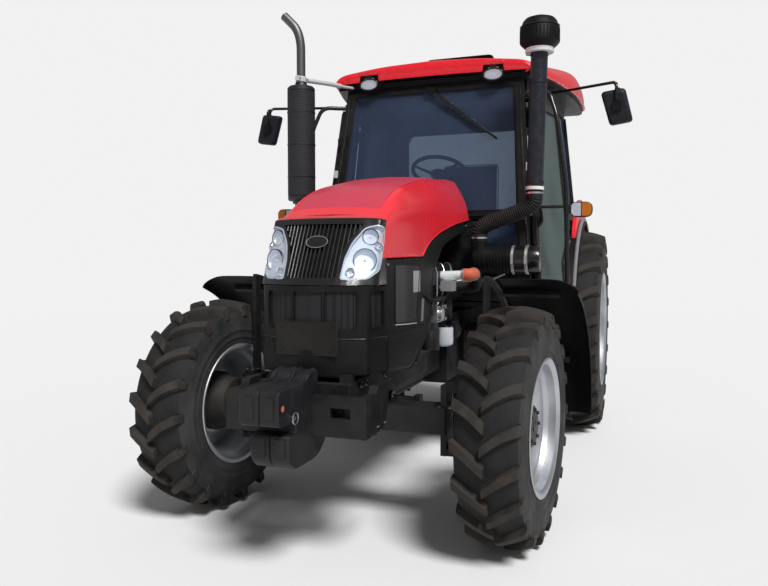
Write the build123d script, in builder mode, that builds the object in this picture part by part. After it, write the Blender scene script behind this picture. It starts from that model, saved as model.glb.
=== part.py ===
"""Four-wheel-drive farm tractor with a cab, in millimetres.

+X is the tractor's left, the nose faces -Y and +Z is up. The origin is on the
ground below the middle of the overall box. aft(d) turns a distance behind the
front axle into a Y position.
"""
from build123d import *
import math
import os

os.makedirs("parts", exist_ok=True)

# ---------------------------------------------------------------- driving sizes
wheelbase = 2688
front_axle_y = -1315        # where the front axle lies in the tractor's own frame
front_track = 1669
rear_track = 1760
rest_steer = -4.7           # the front wheels are parked slightly turned, degrees

front_tyre_radius = 569
front_tyre_width = 315
front_bead_radius = 304.8   # 24 inch rim
front_rim_half = 150
rear_tyre_radius = 792
rear_tyre_width = 430
rear_bead_radius = 431.8    # 34 inch rim
rear_rim_half = 205

kingpin_inset = 230         # wheel centre plane to kingpin axis
kingpin_x = front_track / 2 - kingpin_inset
fit = 0.05                  # radial clearance of a running pin
seat_gap = 0.3              # clearance of a seated or facing surface
move_gap = 6                # clearance of moving pieces

rear_axle_y = front_axle_y + wheelbase


def aft(distance):
    """Y position of a point this far behind the front axle."""
    return front_axle_y + distance


def finish(piece, label):
    """Label a finished piece and write it."""
    piece.part.label = label
    export_step(piece.part, f"parts/{label}.step")


def finish_mirrored(piece, label):
    """Write the other side's copy of a piece made for the left."""
    with BuildPart() as other:
        mirror(piece.part, about=Plane.YZ)
    finish(other, label)


def bar(x_range, y_range, z_range, mode=Mode.ADD):
    """A block between two limits on each axis, in the open part."""
    middle = [(low + high) / 2 for low, high in (x_range, y_range, z_range)]
    sizes = [high - low for low, high in (x_range, y_range, z_range)]
    with Locations(tuple(middle)):
        Box(*sizes, mode=mode)


def rod(start, end, radius, mode=Mode.ADD):
    """A round bar between two points, in the open part."""
    axis = Vector(*end) - Vector(*start)
    plane = Plane(origin=start, z_dir=axis)
    with BuildSketch(plane) as section:
        Circle(radius)
    extrude(section.sketch, amount=axis.length, mode=mode)


def turned(profile, plane, mode=Mode.ADD, angle=360):
    """Revolve a closed (radius, along-axis) outline about the plane's Y axis."""
    with BuildSketch(plane) as section:
        with BuildLine():
            Polyline(*profile, close=True)
        make_face()
    revolve(section.sketch, axis=Axis(plane.origin, plane.y_dir), revolution_arc=angle, mode=mode)


def tube_along(points, bends, radius, wall=0):
    """A tube on straight runs joined by arcs; bends holds one radius per corner."""
    with BuildLine() as route:
        FilletPolyline(*points, radius=bends)
    with BuildSketch(Plane(origin=route.line @ 0, z_dir=route.line % 0)) as section:
        Circle(radius)
        if wall:
            Circle(radius - wall, mode=Mode.SUBTRACT)
    sweep(section.sketch, path=route.line)


# ---------------------------------------------------------------- wheels
def wheel_plane(axle_y, centre_x, radius):
    """Sketch plane of a left wheel: X is the radius, Y points outwards."""
    return Plane(origin=(centre_x, axle_y, radius), x_dir=(0, 0, 1), z_dir=(0, 1, 0))


def tyre_section(plane, radius, width, bead, rim_half, flange):
    """Closed ring from the bead seats to the lug tips, turned about the axle."""
    half = width / 2
    seat = rim_half - flange
    shoulder = radius - 0.05 * radius
    belly = bead + 0.42 * (radius - bead)
    lip = bead + 2 * flange
    with BuildSketch(plane) as section:
        with BuildLine():
            Line((bead, -seat), (bead, seat))
            Line((bead, seat), (lip, seat))
            ThreePointArc((lip, seat), (belly, half), (shoulder, half - 12))
            ThreePointArc((shoulder, half - 12), (radius, 0), (shoulder, 12 - half))
            ThreePointArc((shoulder, 12 - half), (belly, -half), (lip, -seat))
            Line((lip, -seat), (bead, -seat))
        make_face()
    revolve(section.sketch, axis=Axis(plane.origin, plane.y_dir))


def rim_profile(bead, rim_half, flange, wall, drop):
    """Outline of a drop-centre rim band as (radius, along-axis) points."""
    seat = rim_half - flange
    well = 0.45 * rim_half
    top = bead + 2 * flange
    outer = [(top, -rim_half), (top, -seat), (bead, -seat), (bead, -well - drop), (bead - drop, -well)]
    outer += [(r, -a) for r, a in reversed(outer)]
    inner = [(bead - wall, rim_half), (bead - wall, well + drop), (bead - drop - wall, well)]
    inner += [(r, -a) for r, a in reversed(inner)]
    return outer + inner


rim_flange = 12
rim_wall = 8
# columns: name, axle y, wheel centre x, tyre radius, tyre width, bead radius, rim half width,
#          drop of the well, disc offset at the hub, disc offset at the rim, hub hole radius
wheel_table = [
    ("front", front_axle_y, front_track / 2, front_tyre_radius, front_tyre_width,
     front_bead_radius, front_rim_half, 20, 20, 60, 115),
    ("rear", rear_axle_y, rear_track / 2, rear_tyre_radius, rear_tyre_width,
     rear_bead_radius, rear_rim_half, 25, -40, 40, 130),
]
disc_plate = 12
front_spindle_radius = 60
front_spindle_reach = 35    # inside the wheel centre plane
front_hub_face = kingpin_inset - 100


def steered(piece, side):
    """Turn a straight-ahead piece to the parked steering angle about its kingpin."""
    pin = Axis((side * kingpin_x, front_axle_y, 0), (0, 0, 1))
    with BuildPart() as posed:
        add(piece.part.rotate(pin, rest_steer))
    return posed


def finish_wheel_piece(piece, end, name):
    """Write the left and right copy of a wheel piece, steered at the front."""
    for side, word in ((1, "left"), (-1, "right")):
        with BuildPart() as placed:
            if side > 0:
                add(piece.part)
            else:
                mirror(piece.part, about=Plane.YZ)
        if end == "front":
            placed = steered(placed, side)
        finish(placed, f"{name}_{word}")


rear_trumpet_end = 700      # outer face of the rear axle trumpets
rear_shaft_radius = 50
front_hub_off, rear_hub_off = wheel_table[0][8], wheel_table[1][8]
front_hole, rear_hole = wheel_table[0][10], wheel_table[1][10]
front_bore = front_spindle_radius + fit
front_inner = move_gap - front_spindle_reach
rear_bore = rear_shaft_radius + fit
rear_inner = rear_trumpet_end + move_gap - rear_track / 2
rear_stub_end = rear_hub_off + 51
# hub outlines as (radius, along-axis) points, from the bore's inner end round to the bore
hub_table = {
    "front": [
        (front_bore, -front_hub_face), (135, -front_hub_face), (140, -60), (165, front_hub_off - 22),
        (165, front_hub_off), (front_hole, front_hub_off), (front_hole, 70), (100, 92), (0, 92),
        (0, front_inner), (front_bore, front_inner),
    ],
    "rear": [
        (rear_bore, rear_inner), (120, rear_inner), (120, rear_hub_off - 60), (190, rear_hub_off - 24),
        (190, rear_hub_off), (rear_hole, rear_hub_off), (rear_hole, rear_hub_off + 60),
        (90, rear_hub_off + 90), (0, rear_hub_off + 90), (0, rear_stub_end), (rear_bore, rear_stub_end),
    ],
}

for end, axle_y, centre_x, radius, width, bead, rim_half, drop, hub_off, rim_off, hole in wheel_table:
    plane = wheel_plane(axle_y, centre_x, radius)

    with BuildPart() as tyre:
        tyre_section(plane, radius, width, bead, rim_half, rim_flange)
    finish_wheel_piece(tyre, end, f"{end}_tyre")

    with BuildPart() as rim:
        turned(rim_profile(bead, rim_half, rim_flange, rim_wall, drop), plane)
        well_inner = bead - drop - rim_wall
        disc = [
            (hole, hub_off), (hole, hub_off + disc_plate), (hole + 60, hub_off + disc_plate),
            (well_inner + 2, rim_off + disc_plate), (well_inner + 2, rim_off), (hole + 64, hub_off),
        ]
        turned(disc, plane)
        turned(hub_table[end], plane)
    finish_wheel_piece(rim, end, f"{end}_rim")

# ---------------------------------------------------------------- front axle and steering
axle_z = front_tyre_radius
beam_half_height = 65
beam_half_depth = 75
fork_half = 139             # axle centre to the inner faces of the fork
fork_plate = 35
fork_reach = fork_half + fork_plate
fork_radius = 55
fork_root_x = kingpin_x - 105
kingpin_radius = 28
housing_radius = 118
pinion_radius = 94.4
pinion_end, coupling_end = 120, 190    # behind the axle
saddle_z = 690              # flat seat of the frame on the axle

with BuildPart() as front_axle:
    bar((-fork_root_x, fork_root_x), (aft(-beam_half_depth), aft(beam_half_depth)),
        (axle_z - beam_half_height, axle_z + beam_half_height))
    rod((0, aft(-pinion_end), axle_z), (0, aft(pinion_end), axle_z), pinion_radius)
    rod((-110, aft(0), axle_z), (110, aft(0), axle_z), housing_radius)
    rod((0, aft(pinion_end), axle_z), (0, aft(coupling_end), axle_z), 45)
    bar((-80, 80), (aft(-170), aft(170)), (axle_z, saddle_z - 40))
    for side in (1, -1):
        near, far = sorted((side * (fork_root_x - 25), side * (fork_root_x + 5)))
        bar((near, far), (aft(-60), aft(60)), (axle_z - fork_reach, axle_z + fork_reach))
        pin_x = side * kingpin_x
        for level in (axle_z - fork_reach, axle_z + fork_half):
            near, far = sorted((side * fork_root_x, pin_x))
            bar((near, far), (aft(-fork_radius), aft(fork_radius)), (level, level + fork_plate))
            rod((pin_x, aft(0), level), (pin_x, aft(0), level + fork_plate), fork_radius)
        rod((pin_x, aft(0), 0), (pin_x, aft(0), 2 * axle_z), kingpin_radius + fit, mode=Mode.SUBTRACT)
    bar((-70, 70), (aft(-170), aft(170)), (saddle_z - 45, saddle_z))
finish(front_axle, "front_axle")

drum_radius = 80
drum_half = fork_half - move_gap
arm_reach = 190             # kingpin to the tie rod pin
arm_z = 455
arm_plate = 26
ball_radius = 14
guard_post_x = (38, 62)     # fender post, outside the kingpin and inside the tyre
guard_post_y = (92, 138)
guard_radius = 716          # inner face of the front fender
guard_strap = 22
guard_front_angle = 73      # above the horizontal, on the rear side of the wheel
guard_rear_angle = -5
guard_inner_x = 78          # fender edges, outside the kingpin
guard_flat_x = 385
guard_lip_x = 478
guard_lip_drop = 48
guard_sheet = 6


def arc_band(inner_x, outer_x, inner_r, outer_r, from_angle, to_angle):
    """A band about the front wheel's axis, between two distances outside the kingpin."""
    side_plane = Plane(origin=(kingpin_x, front_axle_y, axle_z), x_dir=(0, 1, 0), z_dir=(1, 0, 0))
    with BuildSketch(side_plane.offset(inner_x)) as section:
        with BuildLine():
            first = [(r * math.cos(math.radians(from_angle)), r * math.sin(math.radians(from_angle)))
                     for r in (inner_r, outer_r)]
            last = [(r * math.cos(math.radians(to_angle)), r * math.sin(math.radians(to_angle)))
                    for r in (inner_r, outer_r)]
            sweep_angle = to_angle - from_angle
            CenterArc((0, 0), inner_r, from_angle, sweep_angle)
            CenterArc((0, 0), outer_r, from_angle, sweep_angle)
            Line(first[0], first[1])
            Line(last[0], last[1])
        make_face()
    extrude(section.sketch, amount=outer_x - inner_x)


with BuildPart() as knuckle:
    pin_x = kingpin_x
    rod((pin_x, aft(0), axle_z - drum_half), (pin_x, aft(0), axle_z + drum_half), drum_radius)
    rod((pin_x, aft(0), axle_z - fork_reach - 4), (pin_x, aft(0), axle_z + fork_reach + 4), kingpin_radius)
    flange_out = kingpin_inset - front_hub_face - move_gap
    rod((pin_x, aft(0), axle_z), (pin_x + flange_out, aft(0), axle_z), 118)
    rod((pin_x + flange_out - 1, aft(0), axle_z),
        (front_track / 2 - front_spindle_reach, aft(0), axle_z), front_spindle_radius)
    bar((pin_x - 28, pin_x + 28), (aft(0), aft(arm_reach)), (arm_z, arm_z + arm_plate))
    rod((pin_x, aft(arm_reach), arm_z), (pin_x, aft(arm_reach), arm_z + arm_plate), 28)
    rod((pin_x, aft(arm_reach), arm_z), (pin_x, aft(arm_reach), arm_z + arm_plate + 34), ball_radius)
    post_x = (pin_x + guard_post_x[0], pin_x + guard_post_x[1])
    bar(post_x, (aft(20), aft(guard_post_y[1])), (axle_z + 10, axle_z + 90))
    strap_z = axle_z + (guard_radius - 10) * math.sin(math.radians(80))
    bar(post_x, (aft(guard_post_y[0]), aft(guard_post_y[1])), (axle_z + 10, strap_z - 4))
    arc_band(guard_post_x[0], guard_post_x[1], guard_radius - seat_gap - guard_strap,
             guard_radius - seat_gap, 14, 82)
    for bar_angle in (60, 20):
        arc_band(guard_post_x[0], guard_flat_x - 20, guard_radius - seat_gap - guard_strap,
                 guard_radius - seat_gap, bar_angle - 1.5, bar_angle + 1.5)
for side, word in ((1, "left"), (-1, "right")):
    with BuildPart() as placed:
        if side > 0:
            add(knuckle.part)
        else:
            mirror(knuckle.part, about=Plane.YZ)
    finish(steered(placed, side), f"knuckle_{word}")

with BuildPart() as guard:
    start = math.radians(guard_front_angle)
    radial = Vector(0, math.cos(start), math.sin(start))
    across = Vector(1, 0, 0)
    lip_radius = guard_radius - guard_lip_drop
    wheel_centre = (kingpin_x, front_axle_y, axle_z)
    with BuildSketch(Plane(origin=wheel_centre, x_dir=across, z_dir=across.cross(radial))):
        with BuildLine():
            Polyline(
                (guard_inner_x, guard_radius), (guard_flat_x, guard_radius),
                (guard_lip_x, lip_radius), (guard_lip_x, lip_radius - 20),
                (guard_lip_x + guard_sheet, lip_radius - 20), (guard_lip_x + guard_sheet, lip_radius + 3),
                (guard_flat_x + 2, guard_radius + guard_sheet), (guard_inner_x, guard_radius + guard_sheet),
                close=True)
        make_face()
    guard_arc = guard_front_angle - guard_rear_angle
    revolve(axis=Axis((0, front_axle_y, axle_z), (-1, 0, 0)), revolution_arc=guard_arc)
for side, word in ((1, "left"), (-1, "right")):
    with BuildPart() as placed:
        if side > 0:
            add(guard.part)
        else:
            mirror(guard.part, about=Plane.YZ)
    finish(steered(placed, side), f"front_fender_{word}")

tie_rod_radius = 18
tie_end_radius = 11
tie_eye_radius = 30
tie_eye = 24
with BuildPart() as tie_rod:
    swing = math.radians(rest_steer)
    dx = -arm_reach * math.sin(swing)
    dy = arm_reach * math.cos(swing)
    rod_y = aft(dy)
    eye_z = arm_z + arm_plate + seat_gap
    rod_z = eye_z + tie_eye / 2
    rod((dx - kingpin_x, rod_y, rod_z), (dx + kingpin_x, rod_y, rod_z), tie_end_radius)
    rod((dx - kingpin_x + 60, rod_y, rod_z), (dx + kingpin_x - 60, rod_y, rod_z), tie_rod_radius)
    for side in (1, -1):
        eye_x = side * kingpin_x + dx
        rod((eye_x, rod_y, eye_z), (eye_x, rod_y, eye_z + tie_eye), tie_eye_radius)
        rod((eye_x, rod_y, eye_z - 20), (eye_x, rod_y, eye_z + 60), ball_radius + fit, mode=Mode.SUBTRACT)
finish(tie_rod, "tie_rod")

# ---------------------------------------------------------------- frame, engine and drive line
rail_in, rail_out = 150, 200
rail_top = 820
rail_front, rail_back = aft(-600), aft(640)

with BuildPart() as front_frame:
    for side in (1, -1):
        near, far = sorted((side * rail_in, side * rail_out))
        bar((near, far), (rail_front, rail_back), (saddle_z + 10, rail_top))
    bar((-rail_out, rail_out), (aft(-180), aft(180)), (saddle_z, saddle_z + 50))
    bar((-rail_out - 20, rail_out + 20), (rail_front, aft(-560)), (640, rail_top))
    bar((-rail_in, rail_in), (aft(-230), aft(-90)), (rail_top - 40, rail_top))
finish(front_frame, "front_frame")

carrier_half = 334
carrier_front, carrier_back = aft(-700), aft(-660)
carrier_bottom, carrier_top = 610, 785
carrier_slot = (170, 262)

with BuildPart() as weight_carrier:
    bar((-carrier_half, carrier_half), (carrier_front, carrier_back), (carrier_bottom, carrier_top))
    bar((-rail_out, rail_out), (carrier_back, rail_front), (carrier_bottom + 40, carrier_top - 20))
    for side in (1, -1):
        near, far = sorted((side * carrier_slot[0], side * carrier_slot[1]))
        bar((near, far), (aft(-720), aft(-640)), (690, 735), mode=Mode.SUBTRACT)
        with BuildSketch(Plane.YZ.offset(side * carrier_half)):
            with BuildLine():
                Polyline(
                    (carrier_front, carrier_bottom), (carrier_front, carrier_top), (aft(-575), carrier_top),
                    (aft(-560), carrier_top + 30), (aft(-400), carrier_top + 30), (aft(-440), 690),
                    (aft(-480), carrier_bottom + 10), close=True)
            make_face()
        extrude(amount=-side * 40)
finish(weight_carrier, "weight_carrier")

weight_front = aft(-1000)
weight_splits = (-87, 12, 87)   # outer faces and the joint between the two castings
weight_gap = 2
with BuildPart() as front_weights:
    for near, far in zip(weight_splits[:-1], weight_splits[1:]):
        with BuildSketch(Plane.YZ.offset(near + weight_gap / 2)):
            with BuildLine():
                Polyline(
                    (weight_front, 705), (weight_front, 850), (aft(-760), 850), (aft(-715), 888),
                    (aft(-640), 888), (aft(-640), carrier_top + seat_gap),
                    (carrier_front - seat_gap, carrier_top + seat_gap),
                    (carrier_front - seat_gap, carrier_bottom - 6), (aft(-560), carrier_bottom - 6),
                    (aft(-560), 565), (aft(-640), 505), (aft(-860), 505), (aft(-915), 545),
                    (aft(-915), 655), (aft(-850), 655), (aft(-850), 705), close=True)
            make_face()
        extrude(amount=far - near - weight_gap)
finish(front_weights, "front_weights")

engine_front, engine_back = aft(150), aft(1120)
engine_half = 225
engine_top = 1330
filter_x, filter_y, filter_top = engine_half + 60, aft(420), 965
with BuildPart() as engine:
    bar((-engine_half, engine_half), (engine_front, engine_back), (rail_top, engine_top))
    bar((-rail_in + 8, rail_in - 8), (aft(200), engine_back), (640, rail_top))
    bar((engine_half, filter_x + 30), (filter_y - 40, filter_y + 40), (filter_top, filter_top + 40))
    rod((filter_x, filter_y, filter_top - 110), (filter_x, filter_y, filter_top), 48)
finish(engine, "engine")

radiator_half = 235
with BuildPart() as radiator:
    bar((-radiator_half, radiator_half), (aft(-230), aft(-90)), (rail_top, 1430))
    bar((-radiator_half + 30, radiator_half - 30), (aft(-90), aft(40)), (rail_top + 40, 1380))
finish(radiator, "radiator")

gearbox_back = aft(2300)
gearbox_top = 1000
with BuildPart() as gearbox:
    bar((-190, 190), (engine_back, aft(1500)), (560, gearbox_top))
    bar((-210, 210), (aft(1500), gearbox_back), (480, gearbox_top))
    rod((0, aft(coupling_end) + seat_gap, axle_z), (0, aft(1520), axle_z), 30)
finish(gearbox, "gearbox")

# ---------------------------------------------------------------- rear axle and hitch
trumpet_radius, brake_radius = 115, 170
stub_end = rear_track / 2 + rear_hub_off + 44
hitch_eye_radius = 14.35    # for a 28.4 mm pin
top_pin_radius = 12.8       # for a 25.4 mm pin
hitch_pivot_y = aft(2820)
hitch_pivot_z = 500
arm_length = 400            # lift arm, and lower link from its pivot to the lift rod
lift_pivot_z = 1060
link_length = 812
link_x = 330
link_pin_radius = 15
housing_back = aft(2860)
housing_top = 1040
lift_lug = 40
shaft_radius = 30
pto_radius = 17.5
pto_z = 620
eye_radius = 34
link_rest = -4              # links and arms point slightly down at rest, degrees
link_plate = 24
rod_plane_x = link_x + 34
rod_half = 11


def hinge_pair(x, end_x, y, z, radius, mode=Mode.ADD):
    """The same cross-wise round piece on both sides."""
    for side in (1, -1):
        rod((side * x, y, z), (side * end_x, y, z), radius, mode=mode)


def swung(y, z, length, angle):
    """(y, z) of a point at this length and angle behind a hitch pivot."""
    turn = math.radians(angle)
    return y + length * math.cos(turn), z + length * math.sin(turn)


with BuildPart() as rear_axle_housing:
    bar((-240, 240), (gearbox_back, housing_back), (470, housing_top))
    hinge_pair(200, rear_trumpet_end, rear_axle_y, rear_tyre_radius, trumpet_radius)
    hinge_pair(230, 330, rear_axle_y, rear_tyre_radius, brake_radius)
    hinge_pair(600, stub_end, rear_axle_y, rear_tyre_radius, rear_shaft_radius)
    hinge_pair(230, link_x - link_plate / 2 - 2, hitch_pivot_y, hitch_pivot_z, 30)
    hinge_pair(230, link_x + link_plate / 2 + 12, hitch_pivot_y, hitch_pivot_z, link_pin_radius)
    for side in (1, -1):
        near, far = sorted((side * 140, side * (140 + lift_lug)))
        bar((near, far), (hitch_pivot_y - 40, housing_back), (1030, lift_pivot_z + 42))
    rod((-250, hitch_pivot_y, lift_pivot_z), (250, hitch_pivot_y, lift_pivot_z), shaft_radius + fit,
        mode=Mode.SUBTRACT)
    bar((-46, 46), (housing_back, housing_back + 40), (880, 960))
    bar((-12, 12), (housing_back - 5, housing_back + 95), (870, 970), mode=Mode.SUBTRACT)
    rod((-60, housing_back + 22, 920), (60, housing_back + 22, 920), top_pin_radius, mode=Mode.SUBTRACT)
    pin_mouths = rear_axle_housing.edges().filter_by(
        lambda edge: edge.geom_type == GeomType.CIRCLE and abs(edge.radius - top_pin_radius) < 0.01
        and abs(abs(edge.center().X) - 46) < 0.1)
    chamfer(pin_mouths, length=1)
    rod((0, housing_back, pto_z), (0, housing_back + 12, pto_z), 60)
    rod((0, housing_back, pto_z), (0, housing_back + 100, pto_z), pto_radius)
finish(rear_axle_housing, "rear_axle_housing")

with BuildPart() as lower_links:
    end_y, end_z = swung(hitch_pivot_y, hitch_pivot_z, link_length, link_rest)
    rod_y, rod_z = swung(hitch_pivot_y, hitch_pivot_z, arm_length, link_rest)
    for side in (1, -1):
        inner, outer = side * (link_x - link_plate / 2), side * (link_x + link_plate / 2)
        rod((inner, hitch_pivot_y, hitch_pivot_z), (outer, hitch_pivot_y, hitch_pivot_z), 38)
        rod((inner, end_y, end_z), (outer, end_y, end_z), 36)
        link_plane = Plane(origin=(inner, hitch_pivot_y, hitch_pivot_z),
                           x_dir=(0, end_y - hitch_pivot_y, end_z - hitch_pivot_z), z_dir=(side, 0, 0))
        with BuildSketch(link_plane):
            with Locations((link_length / 2, 0)):
                Rectangle(link_length, 60)
        extrude(amount=link_plate)
        rod((outer, rod_y, rod_z), (side * (rod_plane_x + rod_half + 6), rod_y, rod_z), link_pin_radius)
    near, far = link_x - 40, link_x + 40
    hinge_pair(near, far, hitch_pivot_y, hitch_pivot_z, link_pin_radius + fit, mode=Mode.SUBTRACT)
    hinge_pair(near, far, end_y, end_z, hitch_eye_radius, mode=Mode.SUBTRACT)
finish(lower_links, "lower_links")

with BuildPart() as lift_arms:
    top_y, top_z = swung(hitch_pivot_y, lift_pivot_z, arm_length, link_rest)
    rod((-link_x, hitch_pivot_y, lift_pivot_z), (link_x, hitch_pivot_y, lift_pivot_z), shaft_radius)
    for side in (1, -1):
        inner, outer = side * (link_x - link_plate / 2), side * (link_x + link_plate / 2)
        rod((inner, hitch_pivot_y, lift_pivot_z), (outer, hitch_pivot_y, lift_pivot_z), 45)
        arm_plane = Plane(origin=(inner, hitch_pivot_y, lift_pivot_z),
                          x_dir=(0, top_y - hitch_pivot_y, top_z - lift_pivot_z), z_dir=(side, 0, 0))
        with BuildSketch(arm_plane):
            with Locations((arm_length / 2, 0)):
                Rectangle(arm_length, 60)
        extrude(amount=link_plate)
        rod((inner, top_y, top_z), (outer, top_y, top_z), 30)
        rod((outer, top_y, top_z), (side * (rod_plane_x + rod_half + 6), top_y, top_z), link_pin_radius)
finish(lift_arms, "lift_arms")

with BuildPart() as lift_rods:
    for side in (1, -1):
        near, far = side * (rod_plane_x - rod_half), side * (rod_plane_x + rod_half)
        rod((near, top_y, top_z), (far, top_y, top_z), eye_radius - 6)
        rod((near, rod_y, rod_z), (far, rod_y, rod_z), eye_radius - 6)
        low, high = sorted((near + side, far - side))
        bar((low, high), (rod_y - 12, rod_y + 12), (rod_z + 20, top_z - 20))
        rod((side * rod_plane_x, rod_y, rod_z + 150), (side * rod_plane_x, top_y, top_z - 170), 19)
        for eye_y, eye_z in ((top_y, top_z), (rod_y, rod_z)):
            rod((side * link_x, eye_y, eye_z), (side * (rod_plane_x + 40), eye_y, eye_z),
                link_pin_radius + fit, mode=Mode.SUBTRACT)
finish(lift_rods, "lift_rods")

with BuildPart() as drawbar:
    bar((-40, 40), (aft(2480), aft(3080)), (372, 404))
    bar((-60, 60), (aft(2480), aft(2540)), (360, 470))
    bar((-60, 60), (aft(2740), aft(2800)), (360, 470))
    rod((0, aft(3035), 350), (0, aft(3035), 430), 16, mode=Mode.SUBTRACT)
finish(drawbar, "drawbar")

# ---------------------------------------------------------------- hood and nose
hood_skin = 6
nose_lean = math.atan(0.344)    # the nose leans back towards its top
# columns: distance aft, lean, centre z, shoulder (x, z), crest (x, z), corner (x, z), lower edge (x, z)
hood_sections = [
    (-310, nose_lean, 1572, (150, 1568), (252, 1556), (279, 1530), (290, 1366)),
    (-60, 0, 1716, (150, 1710), (252, 1690), (284, 1610), (294, 1370)),
    (216, 0, 1790, (150, 1784), (246, 1760), (289, 1660), (299, 1377)),
    (588, 0, 1844, (150, 1838), (238, 1818), (297, 1705), (308, 1528)),
    (1150, 0, 1882, (150, 1878), (228, 1862), (306, 1720), (326, 1614)),
]


def leaning_plane(distance, lean, height):
    """A plane across the tractor whose up direction leans back by this angle."""
    up = Vector(0, math.sin(lean), math.cos(lean))
    across = Vector(1, 0, 0)
    return Plane(origin=(0, aft(distance), height), x_dir=across, z_dir=across.cross(up))


def hood_solid(skin, reach):
    """Loft through the hood sections, made smaller by the skin and longer by reach."""
    faces = []
    last = len(hood_sections) - 1
    for index, (distance, lean, centre, *edges) in enumerate(hood_sections):
        shift = -reach if index == 0 else reach if index == last else 0
        base = edges[0][1]
        side = [(x - skin, (z - skin - base) / math.cos(lean)) for x, z in edges[:-1]]
        low_x, low_z = edges[-1]
        side.append((low_x - skin, (low_z - 2 * skin - base) / math.cos(lean)))
        with BuildSketch(leaning_plane(distance + shift, lean, base)) as section:
            with BuildLine():
                points = [(0, (centre - skin - base) / math.cos(lean))] + side
                points += [(-x, z) for x, z in reversed(side)]
                Polyline(*points, close=True)
            make_face()
        faces.append(section.sketch.faces()[0])
    return faces


hinge_y, hinge_z = aft(1200), 1795
hinge_bore = 8
hinge_eye = 17
with BuildPart() as hood:
    loft(hood_solid(0, 0), ruled=True)
    loft(hood_solid(hood_skin, 8), ruled=True, mode=Mode.SUBTRACT)
    for side in (1, -1):
        near, far = sorted((side * 138, side * 162))
        with BuildSketch(Plane.YZ.offset(near)):
            with BuildLine():
                Polyline((aft(1070), 1869), (aft(1145), 1874), (hinge_y + 10, hinge_z + 6),
                         (hinge_y + 4, hinge_z - 12), (aft(1070), 1840), close=True)
            make_face()
        extrude(amount=far - near)
        rod((near, hinge_y, hinge_z), (far, hinge_y, hinge_z), hinge_eye)
        rod((near - 1, hinge_y, hinge_z), (far + 1, hinge_y, hinge_z), hinge_bore + fit, mode=Mode.SUBTRACT)
finish(hood, "hood")

hood_front_aft, hood_front_z = hood_sections[0][0], hood_sections[0][3][1]


def nose_back(height):
    """Distance aft of the nose's back, which follows the leaning front edge of the hood."""
    return hood_front_aft + math.tan(nose_lean) * (height - hood_front_z) - 2 * seat_gap


# columns: height, half width, corner distance aft, centre distance aft, back distance aft
nose_low = (1246, 292, -445, -562, nose_back(1246))
nose_high = (1545, 278, -342, -405, nose_back(1545))


def nose_outline(height, half, corner, centre, back):
    """D-shaped plan outline of the nose at one height."""
    with BuildSketch(Plane.XY.offset(height)) as outline:
        with BuildLine():
            ThreePointArc((-half, aft(corner)), (0, aft(centre)), (half, aft(corner)))
            Polyline((half, aft(corner)), (half, aft(back)), (-half, aft(back)), (-half, aft(corner)))
        make_face()
    return outline.sketch.faces()[0]


# front view of the left headlight: inner foot, inner top, outer top, outer foot
lamp_outline = [(146, 1276), (256, 1520), (340, 1536), (340, 1288)]


def lamp_prism(grow, mode):
    """Both headlight shapes as prisms along the tractor, grown by a clearance."""
    for side in (1, -1):
        with BuildSketch(Plane.XZ.offset(-aft(-700))) as shape:
            with BuildLine():
                Polyline(*[(side * x, z) for x, z in lamp_outline], close=True)
            make_face()
            if grow:
                offset(amount=grow, kind=Kind.INTERSECTION)
        extrude(shape.sketch, amount=-500, mode=mode)


with BuildPart() as nose_panel:
    loft([nose_outline(*nose_low), nose_outline(*nose_high)])
    lamp_prism(seat_gap, Mode.SUBTRACT)
finish(nose_panel, "nose_panel")

with BuildPart() as lamp_prisms:
    lamp_prism(0, Mode.ADD)
with BuildPart() as headlights:
    loft([nose_outline(*nose_low), nose_outline(*nose_high)])
    add(lamp_prisms.part, mode=Mode.INTERSECT)
finish(headlights, "headlights")

grille_low, grille_high = 850, 1240
grille_wall = 18
with BuildPart() as lower_grille:
    with BuildSketch(Plane.XY.offset(grille_low)):
        with BuildLine():
            Line((-290, aft(-330)), (-262, aft(-490)))
            ThreePointArc((-262, aft(-490)), (0, aft(-565)), (262, aft(-490)))
            Polyline((262, aft(-490)), (290, aft(-330)), (290 - grille_wall, aft(-330)),
                     (262 - grille_wall, aft(-480)))
            ThreePointArc((262 - grille_wall, aft(-480)), (0, aft(-565 + grille_wall)),
                          (grille_wall - 262, aft(-480)))
            Polyline((grille_wall - 262, aft(-480)), (grille_wall - 290, aft(-330)), (-290, aft(-330)))
        make_face()
    extrude(amount=grille_high - grille_low)
    for side in (1, -1):
        near, far = sorted((side * rail_in, side * rail_out))
        bar((near, far), (aft(-528), aft(-490)), (rail_top, grille_low + 40))
finish(lower_grille, "lower_grille")

plate_half = 152
with BuildPart() as number_plate:
    bar((-plate_half, plate_half), (aft(-565) - seat_gap - 4, aft(-565) - seat_gap), (933, 1088))
finish(number_plate, "number_plate")

panel_skin = 8
panel_top_gap = 7
panel_plane = Plane(origin=(284, aft(-325), 0), x_dir=(30, 1475, 0), z_dir=(1475, -30, 0))
with BuildPart() as side_panels:
    with BuildSketch(panel_plane):
        with BuildLine():
            # distance behind the grille's rear edge, height
            Polyline(
                (0, 1366 - panel_top_gap), (541, 1377 - panel_top_gap), (913, 1528 - panel_top_gap),
                (1475, 1614 - panel_top_gap), (1475, 1560), (925, 1440), (725, 1300), (675, 972),
                (370, 800), (0, 830), close=True)
        make_face()
    extrude(amount=-panel_skin)
    bar((radiator_half, 284), (aft(-200), aft(-160)), (1000, 1040))
    bar((engine_half, 290), (aft(260), aft(300)), (1100, 1140))
    mirror(about=Plane.YZ)
finish(side_panels, "side_panels")

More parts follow.
